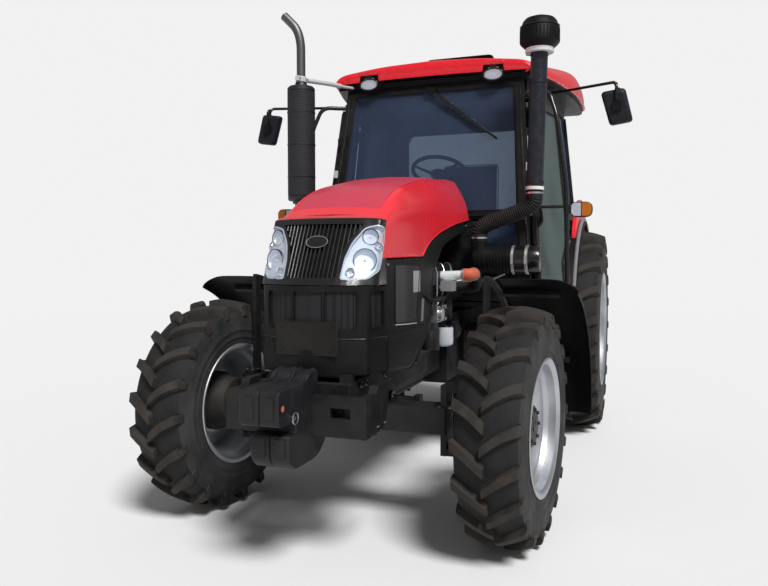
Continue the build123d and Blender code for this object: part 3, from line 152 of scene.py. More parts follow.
class Nodes:
    """A node tree and the one way to add a node to it."""

    def __init__(self, tree):
        self.tree = tree

    def node(self, kind, settings=None, output=0, **sockets):
        """Add one node: its settings first, then its sockets by name, or by place as i0, i1."""
        node = self.tree.nodes.new("ShaderNode" + kind)
        for key, value in (settings or {}).items():
            if key == "stops":
                ramp = node.color_ramp.elements
                while len(ramp) < len(value):
                    ramp.new(0.5)
                for stop, (place, grey) in zip(ramp, value):
                    stop.position = place
                    stop.color = (grey, grey, grey, 1)
            else:
                setattr(node, key, value)
        for key, value in sockets.items():
            by_place = key[0] == "i" and key[1:].isdigit()
            feed(self.tree, node.inputs[int(key[1:]) if by_place else key.replace("_", " ")], value)
        return Value(self.tree, node.outputs[output])


class Look(Nodes):
    """One material's shader tree."""

    def __init__(self, name, **constants):
        self.material = bpy.data.materials.new(name)
        self.material.use_nodes = True
        super().__init__(self.material.node_tree)
        self.shader = self.tree.nodes["Principled BSDF"]
        self.set(**constants)

    def set(self, **values):
        """Set or link the shader's sockets; an underscore stands for a space."""
        for name, value in values.items():
            feed(self.tree, self.shader.inputs[name.replace("_", " ")], value)

    def surface(self, first, second, share):
        """Mix two shaders by a share and put the result on the piece; None is the look's own."""
        own = Value(self.tree, self.shader.outputs[0])
        join = self.node("MixShader", Fac=share, i1=first or own, i2=second or own)
        feed(self.tree, self.tree.nodes["Material Output"].inputs["Surface"], join)

    def where(self, axis=None):
        """The point on the piece in metres, or one of its coordinates."""
        point = self.node("TexCoord", output=3)
        if axis is None:
            return point
        return self.node("SeparateXYZ", output="XYZ".index(axis), Vector=point)

    def stretched(self, x, y, z):
        """The point with each coordinate scaled."""
        return self.node("VectorMath", {"operation": "MULTIPLY"}, i0=self.where(), i1=(x, y, z))

    def noise(self, scale, detail=3, roughness=0.5, at=None):
        """Cloudy noise from 0 to 1."""
        return self.node("TexNoise", Vector=at or self.where(), Scale=scale, Detail=detail,
                         Roughness=roughness)

    def ramp(self, value, *stops):
        """A grey ramp of the value, given as (place, shade) pairs."""
        return self.node("ValToRGB", {"stops": stops}, Fac=value)

    def blend(self, low, high, share):
        """A colour between two colours."""
        return self.node("Mix", {"data_type": "RGBA"}, 2, i0=share, i6=low, i7=high)

    def bump(self, height, distance, strength=1.0):
        """Relief of this height map, its depth in metres."""
        self.set(Normal=self.node("Bump", Height=height, Distance=distance, Strength=strength))


def mixed(*colours):
    """The plain middle of some colours."""
    return tuple(sum(parts) / len(parts) for parts in zip(*colours))


def shade(colour, factor):
    """A colour made darker or lighter."""
    return tuple(min(1.0, part * factor) for part in colour)


def picked(name):
    """A colour from the settings."""
    return tuple(getattr(bpy.context.scene.tractor_colours, name))


# ---------------------------------------------------------------- finishes
def enamel(name, colour, roughness, coat, speckle=0.9, wave=0.0006):
    """Sprayed enamel: faint orange peel, a slow change of tone and fine dust."""
    look = Look(name, Coat_Roughness=0.15, Specular_IOR_Level=0.4)
    drift = look.noise(1.6, 3)
    dust = look.ramp(look.noise(26, 6, 0.65), (0.45, 0.0), (0.85, 1.0))
    tone = look.blend(shade(colour, 0.86), shade(colour, 1.08), drift)
    look.set(Base_Color=look.blend(tone, mixed(colour, (0.42, 0.36, 0.33)), dust * (1 - speckle)),
             Roughness=roughness + dust * 0.14, Coat_Weight=coat - dust * 0.3 * coat)
    look.bump(look.noise(140, 2), wave)


def moulding(name, colour, roughness, grain=0.0003, scale=900):
    """Moulded plastic with a fine grain and scuffed dust."""
    look = Look(name, Specular_IOR_Level=0.14)
    scuff = look.ramp(look.noise(9, 6, 0.7), (0.48, 0.0), (0.80, 1.0))
    look.set(Base_Color=look.blend(colour, mixed(colour, (0.06, 0.057, 0.055)), scuff * 0.3),
             Roughness=roughness + scuff * 0.16)
    look.bump(look.node("TexVoronoi", {"feature": "F1"}, Vector=look.where(), Scale=scale), grain)
    return look


def casting(name, colour, roughness=0.55, rust=0.35):
    """Painted sand casting: pitted, with brown dust in noise patches."""
    look = Look(name, Specular_IOR_Level=0.38)
    patch = look.ramp(look.noise(7, 8, 0.66), (0.42, 0.0), (0.72, 1.0))
    fine = look.noise(190, 4, 0.6)
    look.set(Base_Color=look.blend(colour, (0.105, 0.078, 0.058), patch * rust * 0.35),
             Roughness=roughness + patch * 0.25, Metallic=0.25 - patch * 0.2)
    look.bump(fine + look.noise(34, 3) * 1.5, 0.0011, 0.8)


def metal(name, colour, roughness, stain=0.2, brush=(1, 1, 1)):
    """Bare or plated metal with brushing along one axis and faint stains."""
    look = Look(name, Metallic=1.0)
    mark = look.noise(60, 5, 0.6, look.stretched(*brush))
    cloud = look.ramp(look.noise(6, 5), (0.4, 0.0), (0.8, 1.0))
    look.set(Base_Color=look.blend(colour, shade(colour, 0.45), cloud * stain),
             Roughness=roughness + mark * 0.16 + cloud * 0.1)
    look.bump(mark, 0.0002)


def rubber(name, colour, dust_colour, share, wide=False):
    """Tyre or hose rubber, dull, with dust in small patches or in wide ones."""
    look = Look(name, Specular_IOR_Level=0.22)
    patch = look.ramp(look.noise(11, 8, 0.68), (0.36, 0.0), (0.74, 1.0))
    dust = look.ramp(look.noise(5, 8, 0.7), (0.3, 0.0), (0.7, 1.0)) if wide else patch
    look.set(Base_Color=look.blend(colour, dust_colour, dust * share), Roughness=0.62 + patch * 0.28)
    look.bump(look.noise(130, 5, 0.7), 0.0009)


def lens(name, colour, clear, cut=0.0):
    """Lamp glass: a see-through skin that keeps its gloss, with moulded flutes if cut."""
    look = Look(name, Base_Color=colour, Roughness=0.05, Coat_Weight=1.0, Coat_Roughness=0.03)
    through = look.node("BsdfTransparent", Color=colour)
    edge = look.node("LayerWeight", output=1, Blend=0.35)
    speck = look.noise(40, 2)
    look.surface(through, None, edge * 0.55 + (1 - clear) + speck * 0.04)
    if cut:
        flutes = look.node("TexWave", {"bands_direction": "X"}, Vector=look.where(), Scale=cut)
        look.bump(flutes, 0.0012)


def glazing(name, tint, tint_and_painted_reflection):
    """Tinted safety glass: dark through its tint and bright along grazing edges; its opaque tinted share is
    partly real tint and partly painted reflection.
    """
    look = Look(name, Base_Color=tint, Roughness=0.02, Specular_IOR_Level=0.9)
    through = look.node("BsdfTransparent", Color=mixed(tint, (0.95, 0.95, 0.95)))
    edge = look.node("LayerWeight", output=0, Blend=0.22)
    smear = look.ramp(look.noise(2.4, 6, 0.6), (0.45, 0.0), (0.8, 1.0))
    look.surface(through, None, edge * 0.8 + tint_and_painted_reflection + smear * 0.05)


def woven(name, colour):
    """Seat cloth: a plain weave of two yarns with worn, lighter patches."""
    look = Look(name, Sheen_Weight=0.35, Sheen_Roughness=0.5, Specular_IOR_Level=0.2)
    warp = look.node("TexWave", {"bands_direction": "X"}, Vector=look.where(), Scale=170, Distortion=0.6)
    weft = look.node("TexWave", {"bands_direction": "Y"}, Vector=look.where(), Scale=170, Distortion=0.6)
    weave = warp * weft
    worn = look.ramp(look.noise(6, 5), (0.4, 0.0), (0.8, 1.0))
    look.set(Base_Color=look.blend(colour, shade(colour, 2.1), weave * 0.6 + worn * 0.3),
             Roughness=0.82 + weave * 0.12)
    look.bump(weave, 0.0006)


def meshed(name, colour, pitch):
    """Punched or woven screen: round holes in a grey sheet, painted near-black as painted shade behind them."""
    look = moulding(name, colour, 0.5)
    cell = look.node("TexVoronoi", {"feature": "F1"}, Vector=look.where(), Scale=1 / pitch, Randomness=0.0)
    hole = look.ramp(cell, (0.30, 1.0), (0.36, 0.0))
    # the holes are painted near-black: painted shade behind the screen
    look.set(Base_Color=look.blend(colour, (0.002, 0.002, 0.002), hole), Roughness=0.45 + hole * 0.5)
    look.bump(1 - hole, 0.0015)


def heat_shield(name, colour):
    """Muffler sheet with rows of punched holes, scorched in patches."""
    look = Look(name, Specular_IOR_Level=0.35)
    pitch, radius = 0.0115, 0.094
    x = look.where("X") - MUFFLER_X * MM
    y = look.where("Y") - (FRONT_AXLE_Y + MUFFLER_D * MM)
    around = y.math("ARCTAN2", x) * (radius / pitch)
    up = look.where("Z") / pitch
    row = up.math("FLOOR").math("MODULO", 2.0) * 0.5
    side = (around + row).math("FRACT") - 0.5
    level = up.math("FRACT") - 0.5
    away = (side * side + level * level).math("SQRT")
    hole = look.ramp(away, (0.26, 1.0), (0.31, 0.0))
    scorch = look.noise(8, 5)
    # the holes are painted near-black: painted shade inside the shield
    look.set(Base_Color=look.blend(look.blend(colour, shade(colour, 2.2), scorch * 0.6),
                                   (0.002, 0.002, 0.002), hole),
             Roughness=0.42 + scorch * 0.2 + hole * 0.3, Metallic=0.35 - hole * 0.3)
    look.bump(1 - hole, 0.0018)


def finish_table():
    """Name of each finish, the function that makes it and its values."""
    black, cast = picked("black"), picked("cast")
    dusty = (0.125, 0.105, 0.088)
    return {
        "hood_enamel": (enamel, picked("hood"), 0.20, 0.9, 0.97),
        "hood_panel": (enamel, picked("hood_panel"), 0.40, 0.25, 0.95, 0.0003),
        "fender_enamel": (enamel, picked("hood"), 0.24, 0.8),
        "roof_enamel": (enamel, picked("roof"), 0.27, 0.5),
        "nose_gloss": (enamel, shade(black, 0.7), 0.12, 0.8, 0.98, 0.0002),
        "black_gloss": (enamel, shade(black, 0.8), 0.25, 0.5, 0.97, 0.0003),
        "cab_enamel": (enamel, shade(black, 0.9), 0.30, 0.35),
        "slat_black": (enamel, shade(black, 1.2), 0.42, 0.1, 0.9, 0.0002),
        "clamp_grey": (enamel, (0.55, 0.56, 0.58), 0.35, 0.3),
        "white_band": (enamel, (0.80, 0.80, 0.80), 0.32, 0.3),
        "pipe_white": (enamel, (0.78, 0.79, 0.80), 0.30, 0.5),
        "filter_white": (enamel, (0.50, 0.58, 0.66), 0.3, 0.5),
        "stack_paint": (enamel, picked("stack"), 0.34, 0.35),
        # pale bluish diffuse enamel on the lamp reflectors is painted reflection
        "lamp_bowl": (enamel, (0.60, 0.66, 0.78), 0.30, 0.5, 0.9, 0.0002),
        "lamp_rim": (enamel, (0.42, 0.48, 0.58), 0.2, 0.6),
        "bulb_glass": (enamel, (0.88, 0.88, 0.86), 0.15, 0.8),
        "black_moulding": (moulding, black, 0.42),
        "panel_satin": (moulding, shade(black, 1.5), 0.36),
        "guard_moulding": (moulding, shade(black, 0.75), 0.38),
        # near-black sheets set behind openings as painted shade
        "dark_inside": (moulding, shade(black, 0.6), 0.7),
        "silicone_orange": (moulding, (0.62, 0.14, 0.07), 0.4),
        "mirror_shell": (moulding, (0.016, 0.018, 0.022), 0.36),
        "plate_dark": (moulding, (0.020, 0.019, 0.017), 0.5),
        "seat_vinyl": (moulding, (0.018, 0.018, 0.020), 0.44, 0.0008, 420),
        "dash_grey": (moulding, (0.045, 0.047, 0.052), 0.55),
        "gauge_face": (moulding, (0.55, 0.56, 0.55), 0.4),
        "tank_black": (moulding, (0.012, 0.012, 0.014), 0.34),
        "hose_red": (moulding, (0.45, 0.02, 0.02), 0.5),
        "seal_rubber": (rubber, (0.008, 0.008, 0.009), dusty, 0.12),
        "hose_rubber": (rubber, (0.010, 0.010, 0.011), dusty, 0.16),
        "strip_grey": (rubber, (0.22, 0.225, 0.235), dusty, 0.35),
        "tyre_tread": (rubber, picked("rubber"), dusty, 0.16),
        "tyre_wall": (rubber, shade(picked("rubber"), 1.2), (0.13, 0.125, 0.12), 0.34, True),
        "tyre_lug": (rubber, picked("lug"), (0.12, 0.10, 0.085), 0.34),
        "cast_paint": (casting, cast),
        "weight_cast": (casting, shade(cast, 1.25), 0.5, 0.25),
        "hub_cast": (casting, (0.042, 0.038, 0.034), 0.5, 0.5),
        "engine_paint": (casting, (0.020, 0.021, 0.024), 0.45, 0.25),
        "hitch_steel": (casting, (0.035, 0.035, 0.038), 0.48, 0.45),
        "tread_plate": (casting, (0.030, 0.030, 0.032), 0.5, 0.5),
        "rim_paint": (metal, shade(picked("rim"), 1.35), 0.36, 0.5),
        "bolt_black": (metal, (0.05, 0.05, 0.055), 0.42),
        "bright_steel": (metal, (0.62, 0.62, 0.64), 0.24),
        "zinc": (metal, (0.52, 0.51, 0.49), 0.40, 0.4),
        "aluminium": (metal, (0.74, 0.75, 0.77), 0.34, 0.2, (1, 9, 1)),
        "chrome": (metal, (0.86, 0.87, 0.89), 0.07, 0.05),
        "gunmetal": (metal, (0.16, 0.155, 0.16), 0.38, 0.5, (1, 1, 6)),
        "muffler_end": (metal, (0.07, 0.07, 0.078), 0.4, 0.4, (1, 1, 4)),
        "lamp_cup": (metal, (0.74, 0.80, 0.90), 0.38),
        "mirror_face": (metal, (0.80, 0.82, 0.84), 0.03, 0.03),
        "muffler_sheet": (heat_shield, (0.030, 0.030, 0.034)),
        "grille_mesh": (meshed, (0.022, 0.022, 0.024), 0.0095),
        "vent_mesh": (meshed, (0.060, 0.061, 0.064), 0.0075),
        "lamp_clear": (lens, (0.93, 0.95, 0.97), 0.94),
        "lamp_fluted": (lens, (0.90, 0.92, 0.94), 0.72, 22),
        "lamp_amber": (lens, (0.95, 0.27, 0.02), 0.45, 30),
        "lamp_red": (lens, (0.70, 0.02, 0.02), 0.35, 30),
        # the bluish opaque share of the cab glass is partly real tint and partly painted reflection
        "screen_glass": (glazing, picked("glass"), 0.15),
        "door_glass": (glazing, (0.30, 0.38, 0.37), 0.09),
        "hatch_glass": (glazing, (0.03, 0.03, 0.035), 0.75),
        "seat_cloth": (woven, (0.028, 0.029, 0.034)),
    }


def finish(name):
    """The material of that name, made when it is first asked for."""
    if name not in bpy.data.materials:
        maker, *values = finish_table()[name]
        maker(name, *values)
    return bpy.data.materials[name]


# ---------------------------------------------------------------- mesh helpers
# A piece is drawn in millimetres as (x, distance behind the front axle, height).
TO_FRAME = Matrix.Translation((0, FRONT_AXLE_Y, 0)) @ Matrix.Scale(MM, 4)


def softened(points, reach, steps=4, closed=False):
    """The same path with each corner turned into a short curve of this reach."""
    points = [Vector(p) for p in points]
    count = len(points)
    reaches = reach if isinstance(reach, (list, tuple)) else [reach] * count
    out = [] if closed else [points[0]]
    for i in range(count) if closed else range(1, count - 1):
        before, here, after = points[i - 1], points[i], points[(i + 1) % count]
        into, away = here - before, after - here
        r_in = min(reaches[i], 0.48 * into.length)
        r_out = min(reaches[i], 0.48 * away.length)
        start, end = here - into.normalized() * r_in, here + away.normalized() * r_out
        for k in range(steps + 1):
            t = k / steps
            out.append(start * (1 - t) ** 2 + here * (2 * t * (1 - t)) + end * t * t)
    return out if closed else out + [points[-1]]


def eased(stations, place):
    """Values between stations, each a position and its list of values, on a smooth curve."""
    spots = [s[0] for s in stations]
    place = min(max(place, spots[0]), spots[-1])
    i = max(k for k in range(len(spots) - 1) if spots[k] <= place)
    span = spots[i + 1] - spots[i]
    t = (place - spots[i]) / span

    def slope(k, j):
        low, high = max(k - 1, 0), min(k + 1, len(spots) - 1)
        return (stations[high][1][j] - stations[low][1][j]) / (spots[high] - spots[low])

    out = []
    for j in range(len(stations[0][1])):
        a, b = stations[i][1][j], stations[i + 1][1][j]
        m, n = slope(i, j) * span, slope(i + 1, j) * span
        out.append(a * (2 * t ** 3 - 3 * t * t + 1) + m * (t ** 3 - 2 * t * t + t)
                   + b * (3 * t * t - 2 * t ** 3) + n * (t ** 3 - t * t))
    return out


def even_path(points, step):
    """Points at an even spacing along a path."""
    out, left = [points[0].copy()], step
    for a, b in zip(points[:-1], points[1:]):
        length = (b - a).length
        while left <= length:
            out.append(a.lerp(b, left / length))
            left += step
        left -= length
    return out


def inside(outline, a, b):
    """Whether a flat point lies within a closed outline."""
    hit = False
    for (x0, y0), (x1, y1) in zip(outline, outline[1:] + outline[:1]):
        if (y0 > b) != (y1 > b) and a < (x1 - x0) * (b - y0) / (y1 - y0) + x0:
            hit = not hit
    return hit


def cross_axes(axis):
    """Two directions square to an axis."""
    axis = axis.normalized()
    side = axis.cross(Vector(UP) if abs(axis.z) < 0.9 else Vector(AFT)).normalized()
    return side, axis.cross(side)


def circle(middle, u, v, radius, sides):
    """Points round a middle, in the plane of two directions."""
    turns = [tau * i / sides for i in range(sides)]
    return [middle + u * (radius * cos(turn)) + v * (radius * sin(turn)) for turn in turns]


def round_edges(piece, width, angle):
    """Round the edges of a piece that are sharper than an angle in degrees."""
    rounding = piece.modifiers.new("Edges", "BEVEL")
    rounding.width = width
    rounding.segments = 2
    rounding.limit_method = "ANGLE"
    rounding.angle_limit = radians(angle)
    rounding.use_clamp_overlap = True


class Shape:
    """Collects the faces of one piece, each with its finish."""

    def __init__(self, place=None):
        self.bm = bmesh.new()
        self.finishes = []
        self.matrix = place or Matrix()

    def face(self, corners, look):
        """One face between vertices that differ."""
        distinct = [v for i, v in enumerate(corners) if v is not corners[i - 1]]
        if len(distinct) < 3:
            return
        made = self.bm.faces.new(distinct)
        if look not in self.finishes:
            self.finishes.append(look)
        made.material_index = self.finishes.index(look)

    def points(self, spots):
        """New vertices at these spots."""
        return [self.bm.verts.new(self.matrix @ Vector(p)) for p in spots]

    def skin(self, rings, look, closed=True, caps=True, look_of=None):
        """Faces between rows of points with the same count."""
        rows = [self.points(ring) for ring in rings]
        count = len(rows[0])
        for k, (a, b) in enumerate(zip(rows[:-1], rows[1:])):
            for i in range(count if closed else count - 1):
                j = (i + 1) % count
                self.face((a[i], a[j], b[j], b[i]), look_of(k, i) if look_of else look)
        if caps and closed:
            self.face(rows[0][::-1], look)
            self.face(rows[-1], look)
        return rows

    def shell(self, rows, thickness, look, under=None, look_of=None):
        """A sheet of this thickness below a grid of points, closed all round."""
        rows = [[Vector(p) for p in row] for row in rows]
        count, width = len(rows), len(rows[0])
        low = []
        for k in range(count):
            line = []
            for i in range(width):
                along = rows[min(k + 1, count - 1)][i] - rows[max(k - 1, 0)][i]
                across = rows[k][min(i + 1, width - 1)] - rows[k][max(i - 1, 0)]
                line.append(rows[k][i] - across.cross(along).normalized() * thickness)
            low.append(line)
        top, bottom = [self.points(r) for r in rows], [self.points(r) for r in low]
        for k in range(count - 1):
            for i in range(width - 1):
                self.face((top[k][i], top[k][i + 1], top[k + 1][i + 1], top[k + 1][i]),
                          look_of(k, i) if look_of else look)
                self.face((bottom[k][i], bottom[k + 1][i], bottom[k + 1][i + 1], bottom[k][i + 1]),
                          under or look)
            for i, step in ((0, 1), (width - 1, -1)):
                self.face((top[k][i], top[k + 1][i], bottom[k + 1][i], bottom[k][i])[::step], look)
        for k, step in ((0, -1), (count - 1, 1)):
            for i in range(width - 1):
                self.face((top[k][i], top[k][i + 1], bottom[k][i + 1], bottom[k][i])[::step], look)

    def prism(self, outline, depth, look):
        """A flat outline of points pushed along a vector."""
        low = self.points(outline)
        high = self.points([Vector(p) + depth for p in outline])
        for i in range(len(low)):
            self.face((low[i - 1], low[i], high[i], high[i - 1]), look)
        self.face(low[::-1], look)
        self.face(high, look)

    def block(self, x, d, z, look):
        """A box between two limits each way."""
        (x0, x1), (d0, d1), (z0, z1) = sorted(x), sorted(d), sorted(z)
        self.prism([(x0, d0, z0), (x1, d0, z0), (x1, d1, z0), (x0, d1, z0)], Vector((0, 0, z1 - z0)), look)

    def beam(self, start, end, width, height, look, up=UP):
        """A square bar between two points."""
        start, end = Vector(start), Vector(end)
        side = (end - start).cross(Vector(up)).normalized() * width / 2
        rise = side.cross(end - start).normalized() * height / 2
        self.prism([start - side - rise, start + side - rise, start + side + rise, start - side + rise],
                   end - start, look)

    def rod(self, start, end, radius, look, sides=20, end_radius=None):
        """A round bar between two points, or a cone with a second radius."""
        start, end = Vector(start), Vector(end)
        u, v = cross_axes(end - start)
        ends = ((start, radius), (end, end_radius or radius))
        self.skin([circle(middle, u, v, r, sides) for middle, r in ends], look)

    def lathe(self, profile, origin, axis, look, sides=48, looks=None, ring=False):
        """Turn (radius, height) points about an axis; ring closes the profile on itself."""
        origin, axis = Vector(origin), Vector(axis).normalized()
        u, v = cross_axes(axis)
        profile = list(profile) + [profile[0]] if ring else profile
        rows = [self.points([origin + axis * h]) * sides if r < 0.001
                else self.points(circle(origin + axis * h, u, v, r, sides)) for r, h in profile]
        if ring:
            for spare in rows[-1]:
                self.bm.verts.remove(spare)
            rows[-1] = rows[0]
        for k, (a, b) in enumerate(zip(rows[:-1], rows[1:])):
            for i in range(sides):
                j = (i + 1) % sides
                self.face((a[i], a[j], b[j], b[i]), looks[k] if looks else look)

    def collar(self, spot, axis, inner, outer, start, end, look, sides=36):
        """A plain ring round an axis, between two heights along it."""
        self.lathe([(inner, start), (outer, start), (outer, end), (inner, end)], spot, axis, look, sides)

    def tube(self, points, radius, look, sides=16, bend=40, steps=6, smooth=True):
        """A round tube along a path; radius may be a function of the distance along it."""
        path = softened(points, bend, steps) if smooth else [Vector(p) for p in points]
        path = [p for i, p in enumerate(path) if not i or (p - path[i - 1]).length > 0.01]
        ahead = (path[1] - path[0]).normalized()
        u, _ = cross_axes(ahead)
        rings, gone = [], 0
        for i, p in enumerate(path):
            into = (path[i] - path[i - 1]).normalized() if i else ahead
            out = (path[i + 1] - path[i]).normalized() if i + 1 < len(path) else into
            ahead = (into + out).normalized()
            u = (u - ahead * u.dot(ahead)).normalized()
            v = ahead.cross(u)
            gone += (path[i] - path[i - 1]).length if i else 0
            r = radius(gone) if callable(radius) else radius
            rings.append(circle(p, u, v, r, sides))
        self.skin(rings, look)

    def loop(self, points, radius, look, sides=8):
        """A round bead along a closed path."""
        path = [Vector(p) for p in points]
        count = len(path)
        rings, u = [], None
        for i, p in enumerate(path):
            ahead = (path[(i + 1) % count] - path[i - 1]).normalized()
            u = cross_axes(ahead)[0] if u is None else (u - ahead * u.dot(ahead)).normalized()
            v = ahead.cross(u)
            rings.append(circle(p, u, v, radius, sides))
        rows = [self.points(ring) for ring in rings]
        first = rows[0]
        turn = min(range(sides), key=lambda k: (rows[-1][0].co - first[k].co).length)
        for i in range(count):
            a, b = rows[i], rows[(i + 1) % count]
            shift = turn if i == count - 1 else 0
            for k in range(sides):
                j = (k + 1) % sides
                self.face((a[k], a[j], b[(j + shift) % sides], b[(k + shift) % sides]), look)

    def bolt(self, spot, axis, size, look="bolt_black", washer="zinc"):
        """A hexagon head on its washer; size is the width of the head."""
        spot, axis = Vector(spot), Vector(axis).normalized()
        if washer:
            self.rod(spot - axis * size * 0.1, spot + axis * size * 0.12, size * 0.78, washer, 14)
        self.rod(spot, spot + axis * size * 0.62, size * 0.56, look, 6)

    def bolts(self, spots, axis, size, look="bolt_black", washer="zinc"):
        """Several bolts that face the same way."""
        for spot in spots:
            self.bolt(spot, axis, size, look, washer)

    def both_sides(self):
        """Add the mirror image on the tractor's other side."""
        made = bmesh.ops.duplicate(self.bm, geom=self.bm.verts[:] + self.bm.edges[:] + self.bm.faces[:])
        for item in made["geom"]:
            if isinstance(item, bmesh.types.BMVert):
                item.co.x = -item.co.x
        bmesh.ops.reverse_faces(self.bm, faces=[f for f in made["geom"] if isinstance(f, bmesh.types.BMFace)])

    def place(self, name, body, slot, replaces=(), sharp=34, edge=0.0):
        """Make the object, seat it in the frame and let it ride on its body."""
        self.bm.transform(TO_FRAME)
        bmesh.ops.recalc_face_normals(self.bm, faces=self.bm.faces)
        limit = radians(sharp)
        for f in self.bm.faces:
            f.smooth = True
        for e in self.bm.edges:
            e.smooth = len(e.link_faces) == 2 and e.calc_face_angle(0) < limit
        mesh = bpy.data.meshes.new(name)
        self.bm.to_mesh(mesh)
        self.bm.free()
        for look in self.finishes:
            mesh.materials.append(finish(look))
        piece = bpy.data.objects.new(name, mesh)
        bpy.context.scene.collection.objects.link(piece)
        if edge:
            round_edges(piece, edge * MM, 40)
        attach(piece, body)
        if replaces:
            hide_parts(*replaces)
        return piece


def dress(look, *nodes, edge=None):
    """Give carried-over CAD pieces a finish and soften their edges."""
    width = bpy.context.scene.tractor_sizes.edge_round if edge is None else edge * MM
    for name in nodes:
        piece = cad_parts[name]
        if not piece.data.materials:
            piece.data.materials.append(finish(look))
        for place in piece.material_slots:
            place.link = "OBJECT"
            place.material = finish(look)
        if width:
            weld = piece.modifiers.new("Weld", "WELD")
            weld.merge_threshold = 0.00002
            round_edges(piece, width, 38)


def bolt_circle(centre, x, radius, count, start=0.5):
    """Spots at an even spacing round a cross-wise axle, start in steps from straight ahead."""
    return [turn_about(centre, radius, tau * (k + start) / count, x) for k in range(count)]


def turn_about(centre, radius, angle, x=0):
    """A point round a cross-wise axle; the angle rises from forwards over the top."""
    d, z = centre
    return Vector((x, d - radius * cos(angle), z + radius * sin(angle)))


# ---------------------------------------------------------------- wheels
def wheel_place(end, side):
    """Seat of a wheel: local x along the axle, y aft, z up, at the parked steering angle."""
    if end == "rear":
        return Matrix.Translation((side * REAR_WHEEL_X, *REAR_HUB))
    pin = Matrix.Translation((side * KINGPIN_X, *FRONT_HUB))
    return pin @ Matrix.Rotation(PARKED_STEER, 4, "Z") @ Matrix.Translation((side * KINGPIN_OFFSET, 0, 0))


def steered(x, d, z, side):
    """A point that turns with the left front wheel, given straight ahead, on either side."""
    spin = Matrix.Rotation(PARKED_STEER, 4, "Z")
    pin = Vector((side * KINGPIN_X, 0, 0))
    return pin + spin @ (Vector((side * x, d, z)) - pin)


def each_wheel():
    """End, side, word and body of the four wheels."""
    for end in WHEELS:
        for side, word in ((1, "left"), (-1, "right")):
            yield end, side, word, f"{end}_{word}_wheel"


def add_lug(shape, size, half, start, flip):
    """One slanted lug from beside the centre line over the shoulder."""
    radius, lug_height, lead, thick = size[0], size[8], size[9], size[10]
    rings = []
    last = half - 12

    def ring(top, base, shift, wide):
        (ut, rt), (ub, rb) = top, base
        corners = [(ub, rb, -wide - 9), (ut, rt - 5, -wide - 2.5), (ut, rt, -wide), (ut, rt, wide),
                   (ut, rt - 5, wide + 2.5), (ub, rb, wide + 9)]
        rings.append([turn_about((0, 0), r, start + (shift + s) / radius, flip * u) for u, r, s in corners])

    for i in range(9):
        t = i / 8
        u = -7 + (last + 7) * t
        top = radius - 0.05 * radius * max(0, u / last) ** 2
        ring((u, top - (3 if i == 0 else 0)), (u, top - lug_height - 8),
             lead * (1.38 * t - 0.38 * t * t), thick + 3 * t)
    for u, r, ub, rb, wide in ((half - 7.5, 0.918 * radius, half - 24, 0.895 * radius, thick + 2),
                               (half - 4, 0.880 * radius, half - 15, 0.868 * radius, thick),
                               (half - 5, 0.842 * radius, half - 11, 0.838 * radius, thick - 3)):
        ring((u, r), (ub, rb), lead * 1.0, wide)
    shape.skin(rings, "tyre_lug")


class TRACTOR_OT_tyres(bpy.types.Operator):
    """Four tyres with two rows of slanted lugs"""

    bl_idname = "tractor.tyres"
    bl_label = "Tyres"

    def execute(self, context):
        sizes = context.scene.tractor_sizes
        for end, side, word, body in each_wheel():
            size = WHEELS[end]
            radius, width, bead, rim_half = size[:4]
            half, depth = width / 2, radius - bead
            base = radius - size[8]
            seat = rim_half - 12
            outer = [(0, base), (0.29 * half, base - 0.002 * radius), (0.57 * half, base - 0.014 * radius),
                     (0.79 * half, base - 0.034 * radius), (0.885 * half, bead + 0.745 * depth),
                     (0.935 * half, bead + 0.66 * depth), (0.962 * half, bead + 0.52 * depth),
                     (0.962 * half, bead + 0.42 * depth), (0.975 * half, bead + 0.40 * depth),
                     (0.972 * half, bead + 0.36 * depth), (0.950 * half, bead + 0.34 * depth),
                     (0.940 * half, bead + 0.25 * depth), (0.952 * half, bead + 0.235 * depth),
                     (0.945 * half, bead + 0.205 * depth), (0.918 * half, bead + 0.19 * depth),
                     (seat + 5, bead + 27), (seat + 1, bead + 24.5), (seat, bead + 0.4)]
            profile = [(r, -u) for u, r in outer[::-1]] + [(r, u) for u, r in outer[1:]]
            looks = ["tyre_wall"] * 13 + ["tyre_tread"] * 8 + ["tyre_wall"] * 14
            shape = Shape(wheel_place(end, side))
            shape.lathe(profile, (0, 0, 0), (side, 0, 0), "tyre_wall", 120, looks, ring=True)
            count = sizes.front_lugs if end == "front" else sizes.rear_lugs
            for k in range(count):
                for flip, stagger in ((1, 0), (-1, 0.5)):
                    add_lug(shape, size, half, tau * (k + stagger) / count, flip * side)
            shape.place(f"{end}_{word}_tyre", body, "tyre_rubber", [f"{end}_tyre_{word}"], sharp=30)
        return {"FINISHED"}


def add_rim(shape, size, side):
    """The rolled band of a rim, with its well and rounded lips."""
    _, _, bead, half, drop = size[:5]
    seat, well = half - 12, 0.45 * half
    flank = [(bead + 21, half - 4), (bead + 24, half - 3), (bead + 24, half - 6), (bead + 17, seat + 1),
             (bead + 4, seat), (bead, seat - 3), (bead - 1.5, well + drop + 16), (bead, well + drop + 8),
             (bead - 4, well + drop), (bead - drop + 4, well + 3), (bead - drop, well - 3)]
    inner = [(bead - drop - 8, well - 6), (bead - drop - 4, well + 6), (bead - 12, well + drop + 2),
             (bead - 9, well + drop + 12), (bead - 9, seat - 4), (bead - 2, seat + 4),
             (bead + 9, half - 2), (bead + 17, half)]
    band = flank + [(r, -u) for r, u in flank[::-1]] + [(r, -u) for r, u in inner[::-1]] + inner
    shape.lathe(band, (0, 0, 0), (side, 0, 0), "rim_paint", 96, ring=True)


